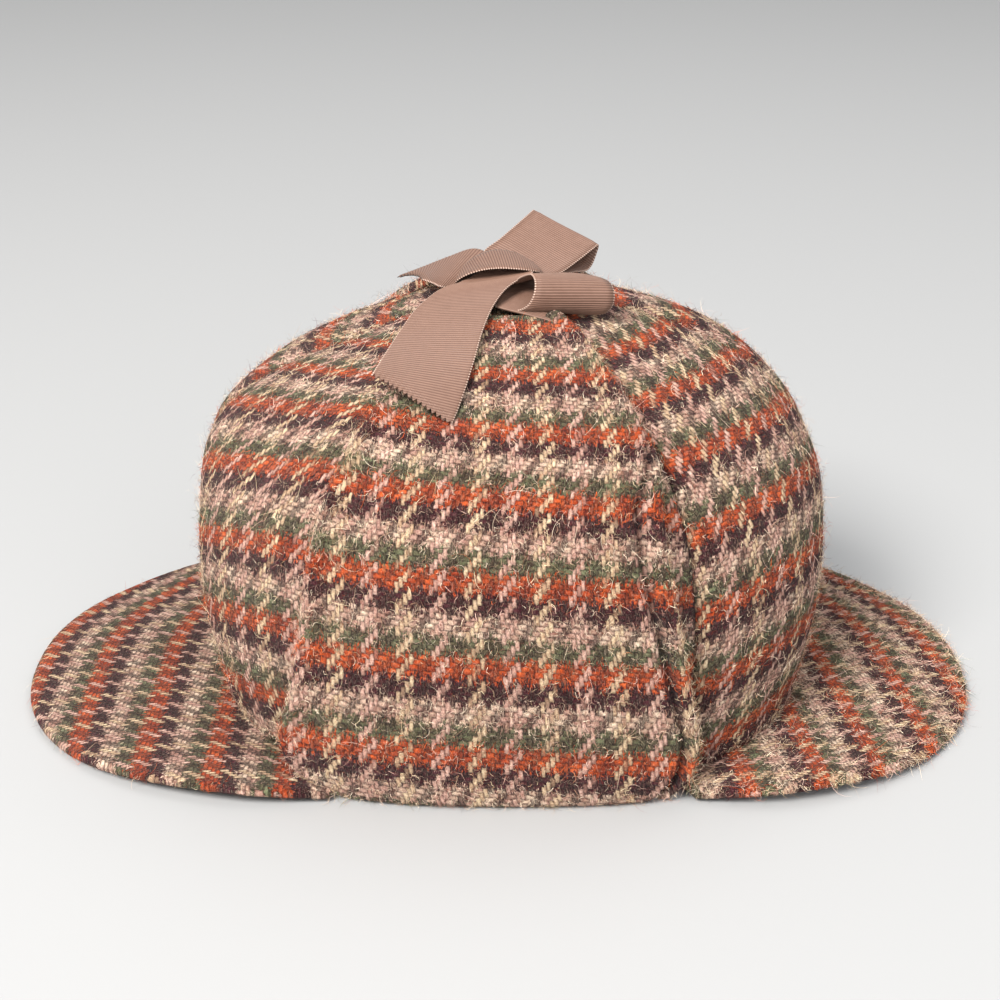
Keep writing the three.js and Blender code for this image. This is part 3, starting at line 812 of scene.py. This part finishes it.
# %% Borders and the sunk line
# How far up the flap, and how far in from its edge towards the back peak, its inside seam runs
INSIDE_SEAM = np.array([[5, 4.6], [20, 5], [50, 6], [75, 7.5], [95, 8.5], [110, 8], [125, 3], [138, 0]])
SUNK_DEPTH, SUNK_REACH = 2.9, 1.35
TURNED_IN, TURNED_IN_FROM, TURNED_IN_REACH = 1.7, 2.6, 2.3
SIDE_ROUNDING, TIP_ROUNDING = 2.0, 2.6
FLAP_WAVE, FLAP_WAVE_FADE = 0.8, 14
FLAP_ACROSS, FLAP_UP, FLAP_WIDTH = 52, 130, 120
SEAM_LINES, WIDTH_AT_SEAM = np.linspace(2.8, 11.6, 12), 118

across_flap = np.union1d(edge_shares(FLAP_ACROSS, FLAP_WIDTH), 1 - SEAM_LINES / WIDTH_AT_SEAM)
up_flap = np.concatenate([np.linspace(0, 0.985, FLAP_UP), [0.989, 0.993, 0.996, 0.998, 1]])
u, v = np.meshgrid(across_flap, up_flap)
middle = flap_middle(u, v)
normal = facing(flap_middle, np.clip(u, 0.02, 0.98), np.clip(v, 0.01, 0.99), 0.02, 0.01)
reach, way = arc_lengths(middle, 1), arc_lengths(middle, 0)
from_back = reach[:, [-1]] - reach
to_side = np.minimum(reach, from_back)
to_tip = way[[-1]] - way
height = middle[..., 2]
thick = FLAP_THICK / 2 * round_edge(to_side, SIDE_ROUNDING) * round_edge(to_tip, TIP_ROUNDING)
# The waves and the turned-in border fade out near the table, where the flap is folded.
wave = soft_waves(middle, FLAP_WAVE) * np.clip(to_side / FLAP_WAVE_FADE, 0, 1)
wave = wave * np.clip((height - 8) / 30, 0, 1)
turned_in = TURNED_IN * np.exp(-(((to_side - TURNED_IN_FROM) / TURNED_IN_REACH) ** 2))
turned_in = turned_in * np.clip((height - 4) / 10, 0, 1)
seam_place = np.interp(way, INSIDE_SEAM[:, 0], INSIDE_SEAM[:, 1])
sunk = np.exp(-(((from_back - seam_place) / SUNK_REACH) ** 2)) * np.clip(seam_place / 3, 0, 1)
print("flap cloth", round(float(reach[:, -1].max())), "by", round(float(way[-1].max())), "mm")

# %% [markdown]
# The far flap is the near one in a mirror. A mirror turns a face inside out, so its rows are taken in
# the other order, and its warp ends are counted the other way.

# %% Shape and dress the flaps
FLAP_STRIPES = [23.6, 56, 83.8, 109.4, 130.4, 149.5, 168.4]
FLAP_GROUPS = [11.5, 10.84, 10.4, 10.0, 9.6, 8.8, 8.2]
FLAP_TILT, FLAP_BOW = -0.085, -0.0005
# How dark the painted shade in the sunk line is, and how much loose wool is left there
SUNK_SHADE, SUNK_FLUFF = 0.85, 0.1
ACROSS_THE_HAT = np.array([1, -1, 1])

flap_outer = middle + normal * (thick + wave + turned_in - SUNK_DEPTH * sunk)[..., None]
flap_inner = middle + normal * (-thick + wave + 0.5 * turned_in)[..., None]
for skin in (flap_outer, flap_inner):
    skin[..., 2] = np.maximum(skin[..., 2], 0)
yarns = stripe_yarns(middle, FLAP_STRIPES, FLAP_TILT, FLAP_BOW, FLAP_GROUPS)
for name in ("near_ear_flap", "far_ear_flap"):
    outer, inner, counts, shaded_hollow = flap_outer, flap_inner, yarns, sunk
    share = fluff(np.minimum(to_side, to_tip)) * (1 - (1 - SUNK_FLUFF) * shaded_hollow)
    if name == "far_ear_flap":
        outer, inner = (outer * ACROSS_THE_HAT)[:, ::-1], (inner * ACROSS_THE_HAT)[:, ::-1]
        counts, shaded_hollow, share = yarns[:, ::-1] * [-1, 1], shaded_hollow[:, ::-1], share[:, ::-1]
    # The sunk line is marked hollow, so the finish paints shade along it.
    cloth[name] = yarn_skin(name + "_tweed", outer, inner, counts, tweed, SUNK_SHADE * shaded_hollow)
    outsides[name] = (outer, counts)
    fluffy[name] = share
    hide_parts(name)
    print(name, "has", len(cloth[name].data.polygons), "faces")

# %% [markdown]
# The tie is one grosgrain ribbon, 27 mm wide. Grosgrain has thick weft ribs right across it, about
# 0.9 mm apart, and so much warp that the face looks smooth and silky between them.
# A ribbon bends only one way, along its length. So each piece is a ruled surface: two edge lines, with
# straight ribs between them. Where the knot gathers it, the edges come closer together.
# The knot goes over the middle of the bow. The two tails come out from under it and lie on the crown,
# and their free ends are cut in a zigzag, on a slant.

# %% The knot and the two tails
RIBBON_WIDE, RIBBON_THICK, RIB = 27, 0.7, 0.84
# name: first edge, second edge, how many teeth the cut end has, how much the cut slants
RIBBON_EDGES = {
    "bow_knot": (
        [
            (-17.5, -1.5, 147.2), (-18.2, -3.5, 149.4), (-15.1, -6, 152.5), (-9.2, -8, 155.1),
            (-3.8, -8.5, 155.8), (2.6, -8, 155.3), (7.5, -5.5, 153.8), (9.2, -3, 152.4),
            (11.6, -2, 147.6),
        ],
        [
            (-17.5, 1.5, 147.2), (-18.4, 1.5, 148.5), (-16.3, 6, 151.1), (-12.1, 8, 154.3),
            (-6, 8.5, 156.5), (0.6, 8.5, 155.8), (5.8, 7, 153.7), (9.5, 2, 151.3), (11.8, 1, 147.6),
        ],
        0, 0,
    ),
    "bow_tail_near": (
        [
            (-9, 0, 152.6), (-17.6, -6, 149.8), (-21.1, -11, 150.4), (-24.5, -16, 150.2),
            (-30.3, -24, 147.6), (-35.1, -34, 143.7), (-39.1, -43, 140), (-42.2, -51, 137.2),
            (-45.4, -57, 133.9), (-48.1, -60, 130),
        ],
        [
            (5, -1, 153.2), (6.7, -8, 154), (2.9, -12.5, 153.7), (-1.7, -18, 152.3),
            (-5.7, -25, 149.2), (-9, -35, 144.7), (-11.6, -45, 138.6), (-14.2, -52, 132.2),
            (-16.7, -57, 126.6), (-18.5, -60, 123.2),
        ],
        17, 11,
    ),
    "bow_tail_far": (
        [
            (-5, -3, 150.6), (-20.1, -4, 147.9), (-23.3, -5.5, 148.6), (-26, -4, 149.4),
            (-30.4, -2, 150.2), (-35.4, 0, 149.9),
        ],
        [
            (-5, 5, 151.2), (-8.3, 15, 153.5), (-12.8, 19, 153.6), (-20.7, 21, 150.3),
            (-29.8, 21, 146.5), (-38.6, 20, 143.2),
        ],
        15, 9,
    ),
}
print("the near tail hangs down to", RIBBON_EDGES["bow_tail_near"][1][-1][2], "mm above the table")

# %% [markdown]
# A loop goes out from the knot, turns round in a bight and comes back under itself. The upper loop stands
# up behind the knot. The side loop lies in front of it, and its hollow is open to the camera.

# %% The two loops
RIBBON_EDGES |= {
    "bow_loop_upper": (
        [
            (-3, 2, 153), (-9.3, 11.5, 154.6), (-3.8, 17, 157.7), (1.8, 24, 160.5), (5.8, 29.5, 162.4),
            (7.4, 32.5, 162.9), (7, 33, 162.1), (3, 29, 159.3), (-3.8, 22, 155.7), (-9.4, 13, 153.3),
            (-3, 3, 151.6),
        ],
        [
            (4, -1, 152.6), (10.4, 1, 149.6), (15.9, 4, 150), (22.1, 9, 152.7), (27.3, 14.5, 155),
            (29.1, 17, 155.4), (28.7, 17.5, 152.9), (26.1, 15, 147.9), (20.5, 10, 148.3),
            (13.7, 4, 148.6), (4, 0, 151.2),
        ],
        0, 0,
    ),
    "bow_loop_side": (
        [
            (1, -2, 152.4), (-0.4, -10, 151.1), (2.6, -15, 155), (5.9, -21, 157.9), (7, -25.5, 157),
            (6.7, -27, 153.8), (5.1, -26, 149.9), (2, -24, 147.2), (-1.7, -21.5, 146.7),
            (-4.9, -19.5, 147.1), (-2, -9, 149.6), (1, -2, 150.6),
        ],
        [
            (7, 0, 152.2), (8, -5, 152.8), (17.6, -9, 154.3), (27, -13, 154.5), (31.2, -18, 154),
            (32.3, -21, 151.5), (31.8, -21.5, 147.7), (29, -20, 144.6), (21.7, -17, 143.9),
            (13.3, -12, 144.7), (10, -5, 149.2), (7, 0, 150.4),
        ],
        0, 0,
    ),
}
print("the upper loop stands up to", max(point[2] for point in RIBBON_EDGES["bow_loop_upper"][0]), "mm")

# %% [markdown]
# From the tip of each flap a short stretch of ribbon, the tie, runs up to the knot. The bow hides most of
# it, but without it the bow would hold nothing.

# %% The two ties
RIBBON_EDGES |= {
    "near_tie": (
        [
            (-5.3, -22.5, 147.8), (-5.6, -16.5, 148), (-6.5, -9, 148.8), (-8, -1, 149.4),
        ],
        [
            (16.2, -28.5, 143.8), (15.5, -22, 146), (13, -11, 148), (9, -1, 149.2),
        ],
        0, 0,
    ),
    "far_tie": (
        [
            (-8.5, 28, 145.8), (-9, 19, 148.6), (-9, 10, 149.2), (-8, 1, 149),
        ],
        [
            (14, 28, 145.8), (13.5, 19, 148.6), (12, 10, 149.2), (9, 1, 149),
        ],
        0, 0,
    ),
}
print("ribbon pieces:", list(RIBBON_EDGES))

# %% [markdown]
# The ribs are real waves in the mesh, so the nodes only add painted shade in the grooves between them. The
# weft turns back at each side of the ribbon, and shows there as a row of pale dots, one to a rib. Fine
# warp threads run along it, and are raised too little to need a mesh.

# %% Grosgrain's nodes
WARP_THREAD, DOTTED_EDGE = 0.26, 0.4
THREAD_RISE = 0.2


def grosgrain_finish(name):
    made, tree, shader = new_finish(name)
    place = put(tree, "ShaderNodeTexCoord").outputs["Object"]
    counts = put(tree, "ShaderNodeSeparateXYZ")
    tree.links.new(yarn_map(tree), counts.inputs[0])
    across, along = counts.outputs[0], counts.outputs[1]
    rib = sum_of(tree, "ABSOLUTE", sum_of(tree, "COSINE", sum_of(tree, "MULTIPLY", along, math.pi / RIB)))
    groove_shade = sum_of(tree, "SUBTRACT", 1, rib)
    turns = sum_of(tree, "MULTIPLY", across, math.pi / WARP_THREAD)
    thread = sum_of(tree, "ABSOLUTE", sum_of(tree, "SINE", turns))
    mottle = speckle(tree, place, 420, 4)
    silk = blend_of(tree, mottle, linear(114, 85, 70), linear(131, 101, 86))
    # Painted shade in the grooves between the ribs.
    colour = blend_of(tree, sum_of(tree, "POWER", groove_shade, 1.6), silk, tinted(tree, silk, 158, 126, 116))
    off_middle = sum_of(tree, "ABSOLUTE", sum_of(tree, "SUBTRACT", across, RIBBON_WIDE / 2))
    at_edge = sum_of(tree, "LESS_THAN", sum_of(tree, "SUBTRACT", RIBBON_WIDE / 2, off_middle), DOTTED_EDGE)
    dots = sum_of(tree, "MULTIPLY", at_edge, sum_of(tree, "POWER", rib, 3))
    colour = blend_of(tree, dots, colour, linear(200, 172, 156))
    tree.links.new(colour, shader.inputs["Base Color"])
    tree.links.new(line_of(tree, mottle, 0.2, 0.42), shader.inputs["Roughness"])
    fill_in(shader, {"Specular IOR Level": 0.35, "Sheen Weight": 0.05})
    raise_face(tree, shader, line_of(tree, thread, 0.3, rib), 0.35, THREAD_RISE)
    return made


grosgrain = grosgrain_finish("rosy_brown_grosgrain")
print("grosgrain has", len(grosgrain.node_tree.nodes), "nodes")

# %% [markdown]
# Now each pair of edges becomes ribbon. Rows of points go from one edge to the other every fifth of a
# millimetre along it, four rows to a rib, and their places are found first. Pinking shears cut a zigzag
# so that the end can't fray: the last rows are pulled back a little at every second column. Where the
# cut is slanted, they are pulled back more at one edge.

# %% Where the rows of a ribbon lie
ROWS_PER_RIB = 4
PLAIN_COLUMNS = 11
TOOTH, TOOTH_FADE, SLANT_FADE = 1.3, 4, 30
FINE_STEPS = 1200


def row_places(length, u, teeth, slant):
    """How far along the ribbon each point lies, with its cut end."""
    rows = int(length / RIB * ROWS_PER_RIB)
    s = np.linspace(0, length, rows)[:, None] * np.ones(len(u))
    if teeth:
        tooth = TOOTH * (np.arange(len(u)) % 2)
        s = s - slant * (1 - u) * np.clip(1 - (length - s) / SLANT_FADE, 0, 1) ** 2
        s = s - tooth * np.clip(1 - (length - slant * (1 - u) - s) / TOOTH_FADE, 0, 1)
    return s


print("rows of points are", RIB / ROWS_PER_RIB, "mm apart")

# %% [markdown]
# The ribbon's thickness rises and falls with the ribs, and its sides are thinner than its middle. It
# sags a little between its edges, because soft ribbon is never quite straight across.

# %% Shape and dress the ribbon
RIB_RISE = 0.09
SELVAGE, SELVAGE_THICKNESS = 0.5, 0.35
SAG, SAG_LENGTH = 0.25, 7.0

ribbon_faces = []
for name, (first_edge, second_edge, teeth, slant) in RIBBON_EDGES.items():
    fine = np.linspace(0, 1, FINE_STEPS)
    middle = (smooth_line(first_edge, fine) + smooth_line(second_edge, fine)) / 2
    way = arc_lengths(middle[:, None], 0)[:, 0]
    length = way[-1]
    u = np.linspace(0, 1, 2 * teeth + 1 if teeth else PLAIN_COLUMNS)
    s = row_places(length, u, teeth, slant)
    at = np.interp(s, way, fine)
    first, second = (smooth_line(edge, at.ravel()).reshape(*s.shape, 3) for edge in (first_edge, second_edge))
    face = first + (second - first) * u[None, :, None]
    normal = unit(np.cross(unit(second - first), np.gradient(face, axis=0)))
    selvage = np.clip(np.minimum(u, 1 - u) * RIBBON_WIDE / SELVAGE, SELVAGE_THICKNESS, 1)
    thick = RIBBON_THICK / 2 * selvage + RIB_RISE * np.cos(2 * math.pi * s / RIB)
    sag = SAG * np.sin(s / SAG_LENGTH + 2 * u) * np.sin(math.pi * u)
    outer = face + normal * (thick + sag)[..., None]
    inner = face + normal * (-thick + sag)[..., None]
    ribbon_faces.append(face[::ROWS_PER_RIB].reshape(-1, 3))
    counts = np.stack([u * RIBBON_WIDE + 0 * s, s], -1)
    ribbon = yarn_skin(name + "_grosgrain", outer, inner, counts, grosgrain)
    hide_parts(name)

# %% [markdown]
# Tweed is never smooth. Short hairs stand off the yarns, lie across them and blur the check, and along
# the outline they catch the light. Each hair is a thin strip of a few flat links, tapered to its tip,
# with the colour of the yarn it comes from, or now and then a light one. They are mesh and not
# Blender's own hair, so that they stay in the part wherever it goes.

# %% The hair's colours
# Four colours of the weft, three of the warp, and a rust that a few odd hairs have
HAIR_COLOURS = [PLUM, ORANGE, GREEN, CREAM, STRAW, BARK, PINK, linear(150, 78, 56)]


def wool_hair_finish(name):
    """Its map says which colour a hair has, across, and how light it is, up."""
    made, tree, shader = new_finish(name)
    lookup = put(tree, "ShaderNodeSeparateXYZ")
    tree.links.new(yarn_map(tree), lookup.inputs[0])
    wool = colour_steps(tree, lookup.outputs[0], HAIR_COLOURS)
    colour = blend_of(tree, lookup.outputs[1], tinted(tree, wool, 178, 150, 140), wool)
    tree.links.new(colour, shader.inputs["Base Color"])
    tree.links.new(line_of(tree, lookup.outputs[1], 0.2, 0.55), shader.inputs["Roughness"])
    fill_in(shader, {"Specular IOR Level": 0.12})
    return made


wool_hair = wool_hair_finish("loose_wool")
print("hair colours:", len(HAIR_COLOURS))

# %% [markdown]
# A hair grows out of the yarn that lies on top at its root, so it has that yarn's colour. A few of them
# are cream, straw, pink or rust wherever they grow, since the yarns are spun from many shades. A fixed
# seed gives the same hat every time.

# %% Which colour a hair has
SEED = 1887
STRAY_PICKS = 0.9
LOST_BARK = 0.6
WEFT_WOOL, WARP_WOOL = np.array([0, 1, 2, 3]), np.array([4, 5, 6, 5])
CREAM_WOOL, STRAW_WOOL, BARK_WOOL, PINK_WOOL, RUST_WOOL = 3, 4, 5, 6, 7
dice = np.random.default_rng(SEED)


def colour_of(numbers, wool):
    """The wool of yarns with these numbers, which changes every four yarns."""
    return wool[(np.mod(numbers, REPEAT) // YARNS_PER_COLOUR).astype(int)]


def root_colour(counts):
    end, pick = np.floor(counts[:, 0]), np.floor(counts[:, 1] + dice.normal(0, STRAY_PICKS, len(counts)))
    warp_up = np.mod(end - pick, TWILL) < 1.5
    weft, warp = colour_of(pick, WEFT_WOOL), colour_of(end, WARP_WOOL)
    warp = np.where((warp == BARK_WOOL) & (dice.random(len(end)) < LOST_BARK), weft, warp)
    chance = dice.random(len(end))
    odd = [chance < 0.09, chance < 0.14, chance < 0.2, chance > 0.95]
    return np.select(odd, [CREAM_WOOL, STRAW_WOOL, PINK_WOOL, RUST_WOOL], np.where(warp_up, warp, weft))


print("roots on plum, orange, green and cream picks:", colour_of(np.array([0, 4, 8, 12]), WEFT_WOOL))

# %% [markdown]
# Under the ribbon the hairs are pressed flat, or they would come out through its face. So each hair asks
# a search tree how near the ribbon is, and stays short where it is close. Brushing has laid most hairs
# along the warp, and that direction follows from how the yarn counts change over the cloth.

# %% Which way a hair was brushed, and how long it stays
PRESSED, PRESSED_REACH, SHORTEST = 0.8, 6, 0.12
ribbon_points = np.concatenate(ribbon_faces)
ribbon_search = KDTree(len(ribbon_points))
for number, point in enumerate(ribbon_points):
    ribbon_search.insert(point, number)
ribbon_search.balance()


def kept_length(roots):
    """How much of its length a hair keeps beside or under the ribbon, as a share."""
    away = np.array([ribbon_search.find(root)[2] for root in roots])
    return np.clip((away - PRESSED) / PRESSED_REACH, SHORTEST, 1)


def along_the_warp(a, b, count_a, count_b):
    """The way along the cloth in which only the pick number grows."""
    turn = count_a[:, 0] * count_b[:, 1] - count_b[:, 0] * count_a[:, 1]
    turn = np.where(np.abs(turn) < 1e-6, 1e-6, turn)
    return unit(a * (-count_b[:, 0] / turn)[:, None] + b * (count_a[:, 0] / turn)[:, None])


print("the search tree holds", len(ribbon_points), "points of the ribbon")

# %% [markdown]
# A hair leans away from its root, curls sideways and droops. Short hairs need two links, and long ones
# four. Most of them lie along the warp, more of them up than down, and one in five lies any way at all.

# %% Bend the hairs
SHORT_LINKS, LONG_LINKS = 2, 4
HAIR_WIDTHS = {SHORT_LINKS: (0.1, 0.17), LONG_LINKS: (0.06, 0.1)}


def hair_strips(root, ahead, up, out, length, links):
    """Corner points of bent strips, each of so many links, from root outwards."""
    many = len(root)
    heading = np.where(dice.random(many) < 0.68, 1, -1) * math.pi / 2 + dice.normal(0, 0.55, many)
    heading = np.where(dice.random(many) < 0.2, dice.random(many) * 2 * math.pi, heading)
    lift = np.abs(dice.normal(0.3, 0.28, many)) + 0.06
    lift = np.where(dice.random(many) < 0.03, dice.uniform(0.8, 1.4, many), lift)
    curl, fall = dice.normal(0, 3.6 / links, many), dice.uniform(0.1, 0.9, many) / links
    roll = dice.uniform(-1.0, 1.0, many)
    points, sides = [root], []
    for link in range(links):
        turn, rise = heading + curl * link, lift * (1 - fall * link)
        way = (np.cos(turn) * np.cos(rise))[:, None] * ahead + (np.sin(turn) * np.cos(rise))[:, None] * up
        way = way + np.sin(rise)[:, None] * out
        points.append(points[-1] + way * (length / links)[:, None])
        sides.append(unit(np.cos(roll)[:, None] * np.cross(way, out) + np.sin(roll)[:, None] * out))
    sides.append(sides[-1])
    taper = 1 - 0.8 * np.linspace(0, 1, links + 1) ** 2
    widths = dice.uniform(*HAIR_WIDTHS[links], many)[:, None] * taper
    rails = [points[k] + side * sides[k] * widths[:, [k]] / 2 for k in range(links + 1) for side in (-1, 1)]
    return np.stack(rails, 1)


def hair_lengths(links, many):
    if links == SHORT_LINKS:
        return dice.uniform(1.3, 3.2, many)
    return np.clip(dice.gamma(4, 1.2, many), 2.5, 9)


print("a long hair tapers from", HAIR_WIDTHS[LONG_LINKS][1], "mm")

# %% [markdown]
# Each hair starts at a random place of the outer face, more often near a free edge, where worn cloth goes
# fluffy. Its place on the map doesn't hold yarn counts but its own colour and lightness.

# %% Grow hair on a panel
HAIR_FLOOR = 0.02


def grow_wool(name, outer, counts, share, short_ones, long_ones):
    """share says how much loose wool each place of the panel has, against the others."""
    a, b = outer[:-1, 1:] - outer[:-1, :-1], outer[1:, :-1] - outer[:-1, :-1]
    normal = np.cross(a, b)
    area = np.linalg.norm(normal, axis=-1) * share[:-1, :-1]
    vertices, faces, lookups, used = [], [], [], 0
    for many, links in ((short_ones, SHORT_LINKS), (long_ones, LONG_LINKS)):
        cell = dice.choice(area.size, many, p=(area / area.sum()).ravel())
        row, column = np.unravel_index(cell, area.shape)
        u, v = dice.random((2, many, 1))
        here = counts[row, column]
        count_a, count_b = counts[row, column + 1] - here, counts[row + 1, column] - here
        out = unit(normal[row, column])
        up = along_the_warp(a[row, column], b[row, column], count_a, count_b)
        ahead = unit(np.cross(up, out))
        root = outer[row, column] + a[row, column] * u + b[row, column] * v
        length = hair_lengths(links, many)
        strips = hair_strips(root, ahead, up, out, length * kept_length(root), links)
        strips[..., 2] = np.maximum(strips[..., 2], HAIR_FLOOR)
        corners = np.array([[2 * k, 2 * k + 1, 2 * k + 3, 2 * k + 2] for k in range(links)])
        faces.append(((used + np.arange(many) * 2 * (links + 1))[:, None, None] + corners).reshape(-1, 4))
        vertices.append(strips.reshape(-1, 3))
        used += len(vertices[-1])
        wool = root_colour(here + count_a * u + count_b * v)
        lookup = np.stack([(wool + 0.5) / len(HAIR_COLOURS), dice.random(many)], -1)
        lookups.append(np.repeat(lookup, 4 * links, axis=0))
    mesh = bpy.data.meshes.new(name)
    points = (np.concatenate(vertices) + [CROWN_X, 0, 0]) * MM
    mesh.from_pydata(points.tolist(), [], np.concatenate(faces).tolist())
    layer = mesh.uv_layers.new(name="yarns")
    layer.data.foreach_set("uv", np.concatenate(lookups).astype(np.float32).ravel())
    mesh.materials.append(wool_hair)
    hair = bpy.data.objects.new(name, mesh)
    bpy.context.scene.collection.objects.link(hair)
    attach(hair, "root")
    return hair


print("one short hair has", SHORT_LINKS, "faces, and one long hair", LONG_LINKS)

# %% [markdown]
# The flaps and the peaks are the most worn, and the near flap fills the middle of the picture, so it
# gets the most hairs. The gores share the rest.

# %% How much loose wool each panel has
# How many short and long hairs, and the name of a material slot
GORE_WOOL = (5000, 2200, "crown_tweed")
WOOL_OF = {
    "near_ear_flap": (10000, 6000, "flap_tweed"), "far_ear_flap": (9000, 3500, "flap_tweed"),
    "front_peak": (7500, 3200, "peak_tweed"), "back_peak": (7500, 3200, "peak_tweed"),
}
for name, (outer, counts) in outsides.items():
    short_ones, long_ones, slot = WOOL_OF.get(name, GORE_WOOL)
    grow_wool(name + "_loose_wool", outer, counts, fluffy[name], short_ones, long_ones)

# %% [markdown]
# The photograph has soft light from the upper left, like a window, and weak shadows. One large lamp
# there, two faint ones and a pale room give the same.

# %% The light
# Each lamp's place, what it points at, its size, its power and its colour
LAMPS = {
    "window_from_upper_left": ((-1.0, -1.4, 1.85), (0, 0, 0.06), 0.9, 117, (1.0, 0.98, 0.95)),
    "soft_front": ((0.6, -1.2, 0.9), (0, 0, 0.07), 1.2, 11, (0.96, 0.98, 1.0)),
    "soft_ceiling": ((0.5, 0.4, 1.7), (0, 0, 0.07), 1.4, 12, (0.98, 0.99, 1.0)),
}
for name, (place, aim, size, power, colour) in LAMPS.items():
    lamp_data = bpy.data.lights.new(name, "AREA")
    lamp_data.size, lamp_data.energy, lamp_data.color = size, power, colour
    lamp = bpy.data.objects.new(name, lamp_data)
    lamp.location = place
    lamp.rotation_euler = (Vector(aim) - Vector(place)).to_track_quat("-Z", "Y").to_euler()
    bpy.context.scene.collection.objects.link(lamp)

world = bpy.data.worlds.new("pale_room")
world.use_nodes = True
fill_in(world.node_tree.nodes["Background"], {"Color": (0.86, 0.87, 0.88, 1), "Strength": 0.7})
bpy.context.scene.world = world
bpy.context.scene.view_settings.view_transform = "Standard"
print("lamps:", list(LAMPS))

# %% [markdown]
# The floor is a plain pale sheet just under the hat. It is only the stage, and no part of the hat.

# %% The floor
FLOOR_REACH, FLOOR_Z = 3, -0.0004
floor_mesh = bpy.data.meshes.new("pale_floor")
floor_corners = [(x * FLOOR_REACH, y * FLOOR_REACH, FLOOR_Z) for x, y in ((-1, -1), (1, -1), (1, 1), (-1, 1))]
floor_mesh.from_pydata(floor_corners, [], [(0, 1, 2, 3)])
floor = bpy.data.objects.new("pale_floor", floor_mesh)
bpy.context.scene.collection.objects.link(floor)
floor_paint, _, paint = new_finish("pale_floor_paint")
fill_in(paint, {"Base Color": grey(0.36), "Roughness": 0.7})
floor_mesh.materials.append(floor_paint)
print("the floor is", 2 * FLOOR_REACH, "m wide")

# %% [markdown]
# A gore or a flap was a flat piece before it was sewn. We say how large each one was and how it is held:
# the gores are stretched over the crown, and the flaps are folded up. Last come the box of the dressed hat,
# next to that of the plain one, and the finish.

# %% Write the sizes and finish
for name in (name for name in cloth if "peak" not in name):
    outer = outsides[name][0]
